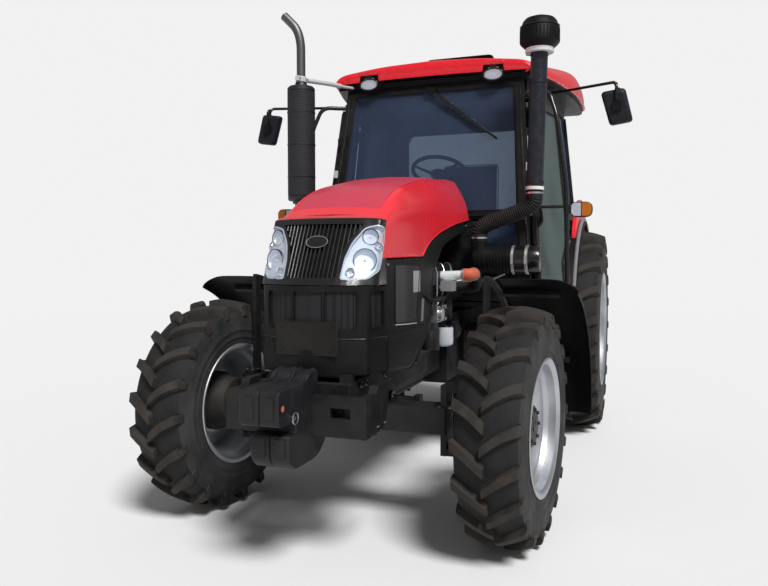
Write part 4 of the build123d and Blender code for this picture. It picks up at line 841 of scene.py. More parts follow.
class TRACTOR_OT_rims(bpy.types.Operator):
    """Four steel rims with their bolted hubs"""

    bl_idname = "tractor.rims"
    bl_label = "Rims and hubs"

    def execute(self, context):
        for end, side, word, body in each_wheel():
            size = WHEELS[end]
            bead, drop, hub_off, rim_off, hole = size[2], size[4], size[5], size[6], size[7]
            inner = bead - drop - 8
            out = Vector((side, 0, 0))
            shape = Shape(wheel_place(end, side))
            add_rim(shape, size, side)
            front = end == "front"
            run = [(hole, hub_off + 12), (hole + 54, hub_off + 12), (hole + 66, hub_off + 15),
                   (hole + 78, hub_off + 24), (inner - 42, rim_off + 2), (inner - 22, rim_off + 10),
                   (inner + 1, rim_off + 14)]
            back = [(inner + 1, rim_off + 2), (inner - 24, rim_off - 2), (inner - 44, rim_off - 10),
                    (hole + 80, hub_off + 12), (hole + 66, hub_off + 2), (hole + 54, hub_off),
                    (hole, hub_off)]
            shape.lathe(run + back, (0, 0, 0), out, "rim_paint", 96, ring=True)
            ring_at = 135 if front else 160
            for spot in bolt_circle((0, 0), side * (hub_off + 12), ring_at, 8):
                shape.bolt(spot, out, 27, "bolt_black", "rim_paint")
                shape.rod(spot, spot + out * 28, 8, "bolt_black", 10)
            if not front:
                for k in range(8):
                    angle = tau * k / 8
                    a = turn_about((0, 0), inner - 60, angle, side * (rim_off + 6))
                    b = turn_about((0, 0), inner - 3, angle, side * (rim_off + 12))
                    shape.beam(a, b, 62, 16, "rim_paint", up=(side, 0, 0))
                    shape.bolt(a.lerp(b, 0.35) + out * 9, out, 30, "bolt_black", "zinc")
            valve = turn_about((0, 0), inner + 3, 0.9, side * (rim_off + 26))
            shape.rod(valve, valve + Vector((side * 34, 0, 0)), 4, "bolt_black", 8)
            shape.place(f"{end}_{word}_rim", body, "rim_silver", sharp=28)

            hub = Shape(wheel_place(end, side))
            if front:
                profile = [(60.5, -29), (60.5, -130), (135, -130), (140, -60), (164, -4), (164, 19.5),
                           (114, 19.5), (114, 64), (108, 71), (101, 74), (99, 84), (92, 90), (60, 92),
                           (36, 92), (34, 88), (0, 88), (0, -29)]
                caps, cap_radius, face = 8, 80, 91
            else:
                profile = [(50.5, -174), (120, -174), (120, -100), (188, -66), (188, -40.5), (129, -40.5),
                           (129, 8), (122, 18), (98, 42), (88, 49), (58, 50), (42, 44), (0, 44),
                           (0, 11), (50.5, 11)]
                caps, cap_radius, face = 10, 74, 49
            hub.lathe(profile, (0, 0, 0), out, "hub_cast", 64)
            hub.bolts(bolt_circle((0, 0), side * (face + 0.5), cap_radius, caps, 0), out, 15,
                      "bolt_black", None)
            if front:
                hub.bolts(bolt_circle((0, 0), side * 72, 104, 12), out, 11, "bolt_black", None)
                hub.rod((side * 88, 0, 0), (side * 94, 0, 0), 20, "hub_cast", 6)
            node = [f"{end}_rim_{word}"]
            hub.place(f"{end}_{word}_hub", body, "cast_grey", node, sharp=32)
        return {"FINISHED"}


# ---------------------------------------------------------------- front axle and guards
class TRACTOR_OT_front_axle(bpy.types.Operator):
    """Front axle beam, knuckles, steering cylinder and track rod"""

    bl_idname = "tractor.front_axle"
    bl_label = "Front axle"

    def execute(self, context):
        dress("cast_paint", "front_axle", "knuckle_left", "knuckle_right", "front_frame", edge=6)
        dress("hitch_steel", "tie_rod", edge=2)
        trim = Shape()
        trim.bolts(bolt_circle(FRONT_HUB, 112, 104, 10, 0), ACROSS, 15)
        trim.bolts([(x, d, 634) for x in (520, 470) for d in (-42, 42)], UP, 20)
        trim.rod((KINGPIN_X, 0, 743), (KINGPIN_X, 0, 762), 44, "cast_paint", 24)
        trim.rod((150, 96, 640), (178, 96, 640), 36, "black_gloss", 24)
        trim.rod((178, 96, 640), (300, 96, 636), 14, "chrome", 16)
        trim.block((296, 330), (70, 122), (616, 660), "cast_paint")
        trim.tube([(120, 120, 664), (120, 150, 700), (90, 190, 770), (90, 210, 812)], 9,
                  "hose_rubber", 10, 30)
        trim.both_sides()
        trim.bolts([(x + 30 * cos(a), 30 * sin(a), 762) for x in (KINGPIN_X, -KINGPIN_X)
                    for a in (0.5, 2.1, 3.6, 5.2)], UP, 12)
        height = FRONT_HUB[1]
        trim.rod((0, -122, height), (0, -112, height), 84, "cast_paint", 32)
        trim.bolts([(66 * cos(tau * k / 8), -122, height + 66 * sin(tau * k / 8)) for k in range(8)],
                   AHEAD, 13)
        trim.rod((-150, 96, 640), (150, 96, 640), 32, "black_gloss", 24)
        trim.place("axle_fittings", "chassis", "cast_grey", edge=1.2)
        for side, word in ((1, "left"), (-1, "right")):
            shape = Shape()
            for z in (444, 515):
                shape.bolt(steered(KINGPIN_X, 190, z, side), (0, 0, -1 if z < 500 else 1), 24)
            shape.place(f"{word}_knuckle_nuts", f"{word}_knuckle", "cast_grey")
        return {"FINISHED"}


class TRACTOR_OT_front_fenders(bpy.types.Operator):
    """Curved black guards over the front wheels"""

    bl_idname = "tractor.front_fenders"
    bl_label = "Front fenders"

    def execute(self, context):
        section = softened([(78, 700), (82, 716), (240, 717.5), (385, 716), (446, 692), (478, 668),
                            (483, 650)], [0, 9, 40, 60, 40, 24, 0], 4)
        for side, word in ((1, "left"), (-1, "right")):
            shape = Shape()
            rows = []
            for k in range(45):
                share = k / 44
                angle = radians(73 - 78 * share)
                flare = 7 * max(0, share - 0.94) / 0.06 + 5 * max(0, 0.04 - share) / 0.04
                row = []
                for p in section:
                    radius = p[1] + (flare if p[0] > 84 else 0) * 0.6
                    row.append(steered(KINGPIN_X + p[0], radius * cos(angle), FRONT_HUB[1]
                                       + radius * sin(angle), side))
                rows.append(row)
            shape.shell(rows, -5 * side, "guard_moulding")
            edge = [row[-1] for row in rows]
            shape.tube(edge, 5.5, "guard_moulding", 8, smooth=False)
            for angle in (60, 20):
                turn = radians(angle)
                out = Vector((0, cos(turn), sin(turn)))
                spots = [steered(KINGPIN_X + x, 722 * out.y, FRONT_HUB[1] + 722 * out.z, side)
                         for x in (122, 272, 362)]
                shape.bolts(spots, out, 14, "zinc", "bolt_black")
            shape.place(f"{word}_front_guard", f"{word}_knuckle", "panel_black",
                        [f"front_fender_{word}"], sharp=40)
        return {"FINISHED"}


# ---------------------------------------------------------------- hood and nose
HOOD = [(-310, [1572, 150, 1568, 252, 1556, 279, 1530, 290]),
        (-60, [1716, 150, 1710, 252, 1690, 284, 1610, 294]),
        (216, [1790, 150, 1784, 246, 1760, 289, 1660, 299]),
        (588, [1844, 150, 1838, 238, 1818, 297, 1705, 308]),
        (1150, [1882, 150, 1878, 228, 1862, 306, 1720, 326])]
HOOD_EDGE = [(-310, [1366]), (216, [1377]), (250, [1404]), (320, [1444]), (430, [1484]), (588, [1524]),
             (820, [1568]), (1150, [1612])]
NOSE_FOOT = (1246, 292, -445, -562, -421)
NOSE_TOP = (1545, 278, -342, -405, -318.5)
LAMP_EDGE = [(142, 1271), (147, 1364), (168, 1436), (214, 1503), (272, 1517), (322, 1500), (328, 1432),
             (328, 1364), (314, 1310), (268, 1273)]
SLAT_ZONE = [(-127, 1273), (127, 1273), (133, 1366), (154, 1442), (202, 1514), (214, 1525), (-214, 1525),
             (-202, 1514), (-154, 1442), (-133, 1366)]


def hood_edge(d):
    """Height of the hood's lower edge."""
    if d <= 216:
        return 1366 + (d + 310) / 526 * 11
    return eased(HOOD_EDGE[1:], d)[0]


def hood_row(d, panel):
    """Half a cross-section of the hood, with the step and groove of its top panel."""
    zc, x1, z1, x2, z2, x3, z3, x4 = eased(HOOD, d)
    low = hood_edge(d)
    half = softened([(0, zc, 0), (x1, z1, 0), (x2, z2, 0), (x3, z3, 0), (x4, low, 0)], [0, 50, 26, 60, 0], 5)
    run = [(p.x, p.y) for p in half]
    edge = x1 + 0.70 * (x2 - x1)
    out = [(edge * i / 8, 3.0 * panel) for i in range(8)]
    out += [(edge, 3.2 * panel), (edge + 2, 7.5 * panel), (edge + 6, 7.5 * panel), (edge + 8.5, 0)]

    def height(x):
        for (xa, za), (xb, zb) in zip(run[:-1], run[1:]):
            if xa <= x <= xb:
                return za + (zb - za) * (x - xa) / max(xb - xa, 0.01)
        return run[-1][1]

    row = [(x, height(x) - sunk) for x, sunk in out]
    rest = [Vector((edge + 12, height(edge + 12)))] + [Vector(p) for p in run if p[0] > edge + 12]
    length = sum((b - a).length for a, b in zip(rest[:-1], rest[1:]))
    even = even_path(rest, length / 26.001)[:27]
    return row + [(p.x, p.y) for p in even[:-1]] + [run[-1]]


def round_front(plan, s, z, out):
    """A point that stands off a curved front: s runs along its plan from the middle, either way."""
    plan = [p for i, p in enumerate(plan) if not i or (p - plan[i - 1]).length > 0.01]
    left = abs(s)
    for i, (a, b) in enumerate(zip(plan[:-1], plan[1:])):
        length = (b - a).length
        if left <= length or i == len(plan) - 2:
            break
        left -= length
    way = (b - a).normalized()
    spot = a + (b - a) * (left / length) + Vector((way.y, -way.x, 0)) * out
    return Vector((spot.x if s >= 0 else -spot.x, spot.y, z))


def nose_point(s, z, out=0.0):
    """A point on the nose: s runs round the front from the middle, out stands off the surface."""
    t = (z - NOSE_FOOT[0]) / (NOSE_TOP[0] - NOSE_FOOT[0])
    half, corner, middle, back = (a + (b - a) * t for a, b in zip(NOSE_FOOT[1:], NOSE_TOP[1:]))
    plan = [(half * i / 12, middle + (corner - middle) * (i / 12) ** 2, 0) for i in range(11)]
    plan += [(half, corner - 4, 0), (half + 1, back, 0)]
    return round_front(softened(plan, [0] * 11 + [24, 0], 5), s, z, out)


def around(outline, grow):
    """A flat outline grown about its middle by a few millimetres."""
    ca, cb = middle_of(outline)
    out = []
    for a, b in outline:
        length = hypot(a - ca, b - cb)
        out.append((ca + (a - ca) * (length + grow) / length, cb + (b - cb) * (length + grow) / length))
    return out


def flat_curve(outline, reach, steps=4):
    """A flat outline with rounded corners."""
    return [(p.x, p.y) for p in softened([(a, b, 0) for a, b in outline], reach, steps, closed=True)]


def raised(surface, outline, *steps):
    """Rows of an outline on a surface, each grown sideways and lifted by one step's values."""
    return [[surface(a, b, lift) for a, b in around(outline, grow)] for grow, lift in steps]


def frame_opening(shape, surface, outline, look, inner=6, outer=4, proud=2.2, deep=14):
    """A raised surround round an opening, with the wall that runs in from it."""
    rows = raised(surface, outline, (outer, -0.8), (outer - 1, proud), (-inner, proud), (-inner - 1.5, -deep))
    shape.skin(rows[:3], look, caps=False)
    shape.skin(rows[2:], look, caps=False)


def middle_of(outline):
    """The mean point of a flat outline."""
    return (sum(p[0] for p in outline) / len(outline), sum(p[1] for p in outline) / len(outline))


def fill_opening(shape, surface, outline, look, level, grow=-7, rings=4, swell=0.0):
    """A sheet across an opening, following the surface round it."""
    ca, cb = middle_of(outline)
    edge = around(outline, grow)
    rows = []
    for k in range(rings):
        share = 1 - k / rings
        lift = level + swell * (1 - share * share)
        rows.append([surface(ca + (a - ca) * share, cb + (b - cb) * share, lift) for a, b in edge])
    last = shape.skin(rows, look, caps=False)[-1]
    centre = shape.points([surface(ca, cb, level + swell)])[0]
    for i in range(len(last)):
        shape.face((last[i - 1], last[i], centre), look)


def punched(shape, surface, a_steps, b_steps, holes, look):
    """A sheet on a surface, left out wholly inside the given outlines."""
    rows = [shape.points([surface(a, b, 0) for a in a_steps]) for b in b_steps]
    for k in range(len(b_steps) - 1):
        for i in range(len(a_steps) - 1):
            corners = [(a_steps[i + m], b_steps[k + n]) for m, n in ((0, 0), (1, 0), (1, 1), (0, 1))]
            if any(all(inside(hole, *c) for c in corners) for hole in holes):
                continue
            shape.face((rows[k][i], rows[k][i + 1], rows[k + 1][i + 1], rows[k + 1][i]), look)


class TRACTOR_OT_hood(bpy.types.Operator):
    """Hood skin with its raised shoulders and the duller panel on top"""

    bl_idname = "tractor.hood"
    bl_label = "Hood"

    def execute(self, context):
        shape = Shape()
        places = [-310, -298, -286, -272, -260, -252, -246, -242, -234, -222, -206, -188, -168, -150]
        places += [-130 + 25 * i for i in range(13)] + [216 + 17 * i for i in range(22)]
        places += [612 + 40 * i for i in range(13)] + [1108, 1116, 1119, 1124, 1150]
        rows = []
        for d in places:
            panel = min(1, max(0, (d + 246) / 4)) * min(1, max(0, (1122 - d) / 5))
            groove = 1.6 if d in (-242, 1116) else 1
            zc = eased(HOOD, d)[0]
            lean = 0.344 * max(0, (-60 - d) / 250)
            half = [Vector((x, d + lean * (z - zc), z)) for x, z in hood_row(d, panel * groove)]
            rows.append([Vector((-p.x, p.y, p.z)) for p in half[:0:-1]] + half)
        middle = len(rows[0]) // 2
        start = places.index(-242)
        end = places.index(1116)

        def look_of(k, i):
            return "hood_panel" if start <= k < end and middle - 9 <= i <= middle + 8 else "hood_enamel"

        shape.shell(rows, 5, "hood_enamel", "black_moulding", look_of)
        for side in (0, -1):
            edge = [row[side] + Vector(UP) for row in rows]
            shape.tube(edge, 3.2, "hood_enamel", 8, smooth=False)
        shape.place("hood_skin", "hood", "body_red", ["hood"], sharp=32)
        hinge = Shape()
        for x in (-150, 150):
            hinge.rod((x - 15, 1200, 1795), (x + 15, 1200, 1795), 14, "hitch_steel")
            hinge.beam((x, 1200, 1795), (x, 1120, 1850), 20, 12, "hitch_steel")
        hinge.place("hood_hinge_eyes", "hood", "frame_black")
        return {"FINISHED"}


class TRACTOR_OT_nose(bpy.types.Operator):
    """Nose with upright slats between two swept headlamps"""

    bl_idname = "tractor.nose"
    bl_label = "Nose and headlamps"

    def execute(self, context):
        shape = Shape()
        lamp = flat_curve(LAMP_EDGE, 16, 3)
        lamps = [lamp, [(-a, b) for a, b in lamp[::-1]]]
        zone = flat_curve(SLAT_ZONE, 14, 3)
        across = [-330 + 5 * i for i in range(133)]
        up = [1246 + 5.2 * i for i in range(58)]
        punched(shape, nose_point, across, up, lamps + [zone], "nose_gloss")
        # the top lip rolls back to the front edge of the hood
        lip = []
        for share in (0, 0.15, 0.35, 0.6, 0.85, 1):
            row = []
            for a in across[::2] + [330]:
                foot = nose_point(a, 1542.4)
                x = foot.x * (1 - 0.04 * share)
                top = 1568 - 10 * (abs(x) / 260) ** 4
                row.append(Vector((x, foot.y + (-313 - foot.y) * share ** 1.4 if abs(a) < 280 else
                                   foot.y + (-318 - foot.y) * share,
                                   1542.4 + (top - 1542.4) * share ** 0.6 * (1 if abs(a) < 285 else 0.2))))
            lip.append(row)
        shape.skin(lip, "nose_gloss", closed=False, look_of=lambda k, i: "nose_gloss" if k == 0
                   else "hood_enamel")
        for side in (1, -1):
            cheek = [[nose_point(side * 326, z), Vector((side * 290.5, -352, z)),
                      Vector((side * 290, -328, z)), Vector((side * 282, -328, z))]
                     for z in range(1246, 1367, 20)]
            shape.skin(cheek, "nose_gloss", closed=False)
        foot = [[nose_point(a, 1246, -k) + Vector((0, 0, j)) for a in across]
                for k, j in ((0, 0), (3, -3), (16, -3))]
        shape.skin(foot, "nose_gloss", closed=False)
        frame_opening(shape, nose_point, zone, "nose_gloss", inner=5, outer=4, proud=1.6, deep=26)
        # a near-black sheet behind the slats is painted shade inside the nose
        shape.skin([[nose_point(a, b, -23) for a in range(-232, 233, 8)] for b in range(1262, 1540, 12)],
                   "dark_inside", closed=False)
        pitch = context.scene.tractor_sizes.slat_pitch / MM
        for k in range(-11, 12):
            a = k * pitch
            span = [b for b in range(1266, 1530, 4) if inside(zone, a, b)]
            if len(span) < 3:
                continue
            rows = [[nose_point(a + da, b, out) for da, out in
                     ((-4.6, -23), (-4.2, -6), (-2, -3.5), (2, -3.5), (4.2, -6), (4.6, -23))]
                    for b in (span[0] - 5, *span[::3], span[-1] + 5)]
            shape.skin(rows, "slat_black")
        medallion = [(54 * cos(k * tau / 36), 1440 + 27 * sin(k * tau / 36)) for k in range(36)]
        frame_opening(shape, nose_point, medallion, "bright_steel", inner=2, outer=2, proud=3.5, deep=-1)
        fill_opening(shape, nose_point, medallion, "nose_gloss", 1.5, grow=-2, rings=3, swell=2)
        for outline in lamps:
            frame_opening(shape, nose_point, outline, "lamp_rim", inner=5, outer=3.0, proud=2.0, deep=17)
        shape.place("nose", "hood", "panel_black", ["nose_panel"], sharp=38)

        glass = Shape()
        for side, outline in zip((1, -1), lamps):
            fill_opening(glass, nose_point, outline, "lamp_clear", -1.5, grow=-6, rings=4, swell=1.0)
            # the reflector bowl behind the lens carries painted reflection
            fill_opening(glass, nose_point, outline, "lamp_bowl", -15, grow=-6, rings=5, swell=-3.0)
            for a, b, radius in ((246, 1462, 34), (240, 1356, 50), (184, 1302, 18), (296, 1420, 16)):
                centre = nose_point(side * a, b, -7)
                ahead = (nose_point(side * a, b, 10) - centre).normalized() + Vector((0, -0.35, 0))
                profile = [(radius, 3), (radius + 3, 5), (radius + 4, 2), (radius + 2, -12), (radius, 3),
                           (radius * 0.92, -6), (radius * 0.7, -16), (radius * 0.36, -22), (5, -24), (0, -24)]
                glass.lathe(profile[:5], centre, ahead, "black_gloss" if radius > 22 else "chrome", 28)
                glass.lathe(profile[4:], centre, ahead, "lamp_cup", 28)
                glass.lathe([(6, -24), (6, -8), (3, -2), (0, -1)], centre, ahead, "bulb_glass", 12)
        glass.place("headlamps", "hood", "lamp_plastic", ["headlights"], sharp=36)
        return {"FINISHED"}


# ---------------------------------------------------------------- grille, plate and side panels
def grille_point(s, z, out=0.0):
    """A point on the lower grille: s runs round from the middle of the front."""
    swell = 6 * sin(pi * min(1, max(0, (1006 - z) / 156))) if z < 1006 else 0
    front = -565 - swell
    plan = [(262 * i / 10, front + 75 * (i / 10) ** 2, 0) for i in range(11)] + [(290, -330, 0)]
    return round_front(softened(plan, [0] * 10 + [34, 0], 5), s, z, out + swell * 0.5)


class TRACTOR_OT_grille(bpy.types.Operator):
    """Lower grille with its screens, skirt and blank plate"""

    bl_idname = "tractor.grille"
    bl_label = "Lower grille"

    def execute(self, context):
        shape = Shape()
        front = flat_curve([(-228, 1046), (228, 1046), (232, 1222), (-232, 1222)], 22)
        wing = flat_curve([(300, 1044), (408, 1052), (412, 1222), (292, 1222)], 16)
        holes = [front, wing, [(-a, b) for a, b in wing[::-1]]]
        across = [-433 + 6.1 * i for i in range(143)]
        up = [850, 853, 858] + [864 + 7 * i for i in range(20)] + [1002, 1005, 1008, 1014]
        up += [1020 + 7 * i for i in range(31)] + [1235, 1240]
        punched(shape, grille_point, across, up, holes, "panel_satin")
        for z, turn in ((850, 1), (1240, -1)):
            rim = [[grille_point(a, z + j * turn, -k) for a in across]
                   for k, j in ((0, 0), (3, -2), (18, -2))]
            shape.skin(rim, "panel_satin", closed=False)
        for hole in holes:
            frame_opening(shape, grille_point, hole, "black_moulding", inner=5, outer=4, proud=2.5, deep=14)
        shape.skin([[grille_point(a, z, -11) for a in across] for z in (1024, 1090, 1160, 1232)],
                   "grille_mesh", closed=False)
        for a in (-76, 76):
            shape.skin([[grille_point(a + da, z, o) for da, o in ((-7, -9), (-5, 1), (5, 1), (7, -9))]
                        for z in range(1042, 1230, 18)], "panel_satin")
        for x in (-1, 1):
            shape.block((x * 152, x * 198), (-556, -488), (820, 852), "cast_paint")
        groove = [grille_point(a, 1008, 0.5) for a in across]
        shape.tube(groove, 3.2, "black_gloss", 8, smooth=False)
        shape.place("grille", "chassis", "panel_black", ["lower_grille"], sharp=36)

        plate = Shape()
        corners = flat_curve([(-151, 934), (151, 934), (151, 1087), (-151, 1087)], 9)

        def sheet(a, b, h):
            return Vector((a, -572 - h, b))

        plate.skin(raised(sheet, corners, (0, -3), (0, 0), (-2, 1.6), (-6, 1.6), (-8, 0)), "plate_dark")
        plate.bolts([(x, -572, z) for x in (-118, 118) for z in (960, 1062)], AHEAD, 8, "bolt_black", None)
        plate.place("blank_plate", "chassis", "panel_black", ["number_plate"], sharp=40)
        return {"FINISHED"}


class TRACTOR_OT_side_panels(bpy.types.Operator):
    """Black panels below the hood, with a vent near the grille"""

    bl_idname = "tractor.side_panels"
    bl_label = "Side panels"

    def execute(self, context):
        along = Vector((30, 1475, 0)).normalized()
        out = Vector((1475, -30, 0)).normalized()
        origin = Vector((284, -325, 0))

        def panel(a, b, h=0.0):
            return origin + along * a + out * h + Vector((0, 0, b))

        top = [(a, hood_edge(a - 325) - 8) for a in range(10, 1471, 20)]
        low = [(p.x, p.y) for p in softened([(1472, 1560, 0), (925, 1440, 0), (735, 1300, 0), (680, 975, 0),
                                             (375, 802, 0), (0, 830, 0)], [0, 90, 90, 90, 60, 0], 6)]
        outline = [(0, 1355)] + top + low
        shape = Shape()
        vent = flat_curve([(128, 1052), (440, 1036), (500, 1334), (124, 1338)], 24)
        shape.skin([[panel(a, b, -7) for a, b in outline], [panel(a, b, -2) for a, b in outline],
                    [panel(a, b, 0) for a, b in around(outline, -2.5)]], "panel_satin")
        frame_opening(shape, panel, vent, "panel_satin", inner=5, outer=5, proud=3.4, deep=2.5)
        fill_opening(shape, panel, vent, "vent_mesh", 0.8, grow=-5, rings=2)
        rib = [panel(a, b, 1) for a, b in low[6:-1]]
        shape.tube(rib, 3.5, "panel_satin", 8, smooth=False)
        skirt = flat_curve([(4, 842), (352, 816), (640, 990), (560, 1012), (4, 1006)], 18)
        shape.skin(raised(panel, skirt, (4, -1), (2, 6), (-4, 9), (-16, 10)), "panel_satin")
        foot = [panel(a, b, 3.5) for a, b in ((134, 1046), (290, 1036), (436, 1030))]
        shape.tube(foot, 3.0, "clamp_grey", 8, smooth=False)
        for a, b in ((24, 1335), (1440, 1572)):
            shape.bolt(panel(a, b, 0), out, 11, "zinc", "bolt_black")
        strip = [(524, 1030), (556, 1034), (572, 1150), (540, 1152)]
        shape.skin([[panel(a, b, h) for a, b in strip] for h in (-1, 2.5)], "strip_grey")
        for a, b in ((60, 1100), (540, 1060), (1200, 1540)):
            shape.beam(panel(a, b, -7), panel(a, b, -52), 44, 12, "cast_paint")
        shape.both_sides()
        shape.place("hood_sides", "chassis", "panel_black", ["side_panels"], sharp=34)
        return {"FINISHED"}


# ---------------------------------------------------------------- front frame, weights, engine
class TRACTOR_OT_weights(bpy.types.Operator):
    """Two cast weights on their carrier"""

    bl_idname = "tractor.weights"
    bl_label = "Front weights"

    def execute(self, context):
        dress("cast_paint", "weight_carrier", edge=3)
        outline = [(-1000, 705), (-1000, 850), (-760, 850), (-715, 888), (-640, 888), (-640, 785),
                   (-700, 785), (-700, 604), (-560, 604), (-560, 565), (-640, 505), (-860, 505), (-915, 545),
                   (-915, 655), (-850, 655), (-850, 705)]
        reach = [22, 26, 40, 30, 14, 5, 5, 5, 8, 22, 60, 30, 40, 14, 10, 14]
        path = softened([(0, d, z) for d, z in outline], reach, 5, closed=True)
        shape = Shape()
        for x in (-87, 1.5):
            edges = ((0, -5), (5, 0), (80.5, 0), (85.5, -5))
            flat = [(p.y, p.z) for p in path]
            rings = [[Vector((x + dx, d, z)) for d, z in around(flat, grow)] for dx, grow in edges]
            shape.skin(rings, "weight_cast")
            rail = [(-985, 852), (-770, 852), (-722, 890), (-652, 890)]
            for dx in (14, 72):
                shape.tube([(x + dx, d, z - 2) for d, z in rail], 8, "weight_cast", 4, 30)
            shape.block((x + 22, x + 64), (-1003, -996), (736, 822), "weight_cast")
            shape.block((x + 18, x + 68), (-918, -912), (566, 640), "weight_cast")
        shape.rod((82, -968, 778), (90, -968, 778), 13, "silicone_orange", 18)
        shape.lathe([(13, 0), (22, 0), (24, 5), (13, 5)], (85.5, -968, 778), ACROSS, "weight_cast", 24)
        shape.rod((-95, -876, 722), (96, -876, 722), 10, "bright_steel", 14)
        shape.loop([(98, -876 + 24 * cos(a * 0.4), 722 + 24 * sin(a * 0.4)) for a in range(16)],
                   2.4, "bright_steel", 6)
        shape.place("suitcase_weights", "chassis", "cast_grey", ["front_weights"], sharp=36)
        trim = Shape()
        trim.bolts([(x * 324, d, 640) for x in (-1, 1) for d in (-560, -470)], (0, 0, -1), 20)
        trim.bolts([(x * 204, d, 790) for x in (-1, 1) for d in (-420, -360, -100, 120, 260,
                                                                 400)], ACROSS, 18)
        trim.rod((0, -705, 590), (0, -705, 660), 14, "bright_steel", 14)
        trim.place("carrier_bolts", "chassis", "frame_black")
        return {"FINISHED"}


class TRACTOR_OT_engine(bpy.types.Operator):
    """Engine block with its head, pipes, filters, pump and radiator"""

    bl_idname = "tractor.engine"
    bl_label = "Engine"

    def execute(self, context):
        dress("engine_paint", "engine", edge=8)
        dress("black_moulding", "radiator", edge=4)
        dress("cast_paint", "gearbox", edge=8)
        shape = Shape()
        shape.block((226, 238), (190, 1080), (842, 868), "engine_paint")
        shape.block((226, 236), (190, 1080), (1120, 1140), "engine_paint")
        shape.bolts([(238, 210 + 86 * k, 855) for k in range(11)], ACROSS, 15)
        shape.bolts([(144, 230 + 100 * k, 806) for k in range(9)], ACROSS, 14)
        for k in range(6):
            shape.block((224, 232), (238 + 140 * k, 262 + 140 * k), (880, 1108), "engine_paint")
            shape.rod((220, 320 + 140 * k, 1010), (231, 320 + 140 * k, 1010), 26, "engine_paint", 24)
        shape.both_sides()
        # intake side: manifold, injection pipes, filter, starter and a tidy loom
        shape.block((222, 282), (300, 1010), (1212, 1290), "engine_paint")
        for k in range(4):
            shape.rod((222, 380 + 180 * k, 1200), (286, 380 + 180 * k, 1200), 30, "engine_paint", 20)
            shape.tube([(232, 350 + 180 * k, 1334), (262, 350 + 180 * k, 1338), (288, 372 + 160 * k, 1292),
                        (290, 400 + 120 * k, 1150), (272, 520 + 30 * k, 1090)], 4.5, "bright_steel", 8, 24)
        shape.block((226, 300), (500, 700), (1000, 1092), "aluminium")
        shape.rod((300, 540, 1046), (322, 540, 1046), 34, "aluminium", 24)
        shape.rod((300, 640, 1046), (316, 640, 1046), 26, "black_gloss", 20)
        shape.bolts([(301, 515 + 60 * k, z) for k in range(4) for z in (1012, 1080)], ACROSS, 11)
        shape.lathe([(0, -2), (30, -2), (48, 10), (50, 24), (50, 104), (46, 112), (46, 120), (0, 120)],
                    (300, 660, 850), UP, "filter_white", 36,
                    ["filter_white", "filter_white", "filter_white", "clamp_grey", "filter_white",
                     "black_gloss", "black_gloss"])
        shape.lathe([(0, 0), (34, 0), (37, 8), (37, 96), (33, 104), (0, 104)], (296, 860, 880), UP,
                    "tank_black", 30)
        shape.rod((240, 930, 900), (240, 1100, 900), 52, "engine_paint", 28)
        shape.rod((262, 900, 958), (262, 1060, 958), 26, "bolt_black", 20)
        shape.tube([(296, 560, 1090), (330, 600, 1170), (300, 760, 1240), (262, 940, 1252),
                    (240, 1080, 1200)], 11, "hose_rubber", 10, 60)
        shape.tube([(262, 200, 1200), (302, 260, 1160), (306, 420, 1120), (306, 640, 1140), (286, 900, 1180),
                    (240, 1090, 1160)], 13, "seal_rubber", 10, 60)
        shape.tube([(240, -60, 900), (270, 60, 860), (260, 200, 900), (232, 300, 940)], 24,
                   "hose_rubber", 16, 60)
        shape.tube([(236, -70, 1380), (262, 40, 1400), (240, 160, 1380), (180, 240, 1350)], 26,
                   "hose_rubber", 16, 60)
        shape.block((232, 296), (70, 180), (1190, 1300), "aluminium")
        shape.tube([(262, 80, 1296), (262, 90, 1352), (262, 340, 1396), (240, 470, 1372)], 17,
                   "bright_steel", 14, 46)
        # exhaust side: turbo, manifold, alternator and belt
        shape.block((-276, -222), (360, 960), (1230, 1300), "muffler_end")
        shape.lathe([(0, -46), (46, -46), (66, -30), (74, 0), (66, 30), (46, 46), (0, 46)], (-292, 660, 1262),
                    AFT, "muffler_end", 32)
        shape.rod((-300, 120, 1060), (-300, 250, 1060), 62, "aluminium", 32)
        shape.rod((-300, 96, 1060), (-300, 118, 1060), 38, "bolt_black", 28)
        for d in range(136, 240, 14):
            shape.lathe([(60, 0), (65, 1), (65, 7), (60, 8)], (-300, d, 1060), AFT,
                        "bolt_black", 32, ring=True)
        for centre, radius in (((0, 1150), 88), ((0, 930), 104), ((150, 1010), 44)):
            shape.lathe([(radius, -14), (radius + 7, -14), (radius + 7, -6), (radius - 2, 0), (radius + 7, 6),
                         (radius + 7, 14), (radius, 14)], (centre[0], 118, centre[1]), AFT, "bolt_black", 40,
                        ring=True)
            shape.rod((centre[0], 104, centre[1]), (centre[0], 132, centre[1]), radius + 1,
                      "engine_paint", 40)
        belt = [(96, 930), (60, 850), (-60, 850), (-96, 930), (-82, 1160), (0, 1238), (88, 1160), (194, 1030),
                (190, 980)]
        belt = softened([(x, 0, z) for x, z in belt], 44, 4, closed=True)
        shape.loop([(p.x, 112, p.z) for p in belt], 7, "hose_rubber", 6)
        for k in range(4):
            shape.block((-150, 150), (300 + 190 * k, 440 + 190 * k), (1329, 1372), "engine_paint")
            shape.bolts([(x, 370 + 190 * k, 1372) for x in (-90, 90)], UP, 16)
        shape.rod((60, 250, 1330), (60, 250, 1396), 34, "black_gloss", 24)
        for k in range(24):
            shape.block((-232, 232), (-236, -231), (838 + 24.4 * k, 842 + 24.4 * k), "aluminium")
        shape.place("engine_detail", "chassis", "frame_black", edge=1.4)
        return {"FINISHED"}


# ---------------------------------------------------------------- cab
def cab_side(d, z, out=0.0, side=1):
    """A point on the outer face of the cab's side."""
    half = 631 + 0.2 * (min(d, 2000) - 1425) + 0.10735 * (2540 - z)
    splay = 0.2 if d < 2000 else 0
    normal = Vector((1, -splay, 0.10735)).normalized()
    spot = Vector((half, d, z)) + normal * out
    return Vector((side * spot.x, spot.y, spot.z))


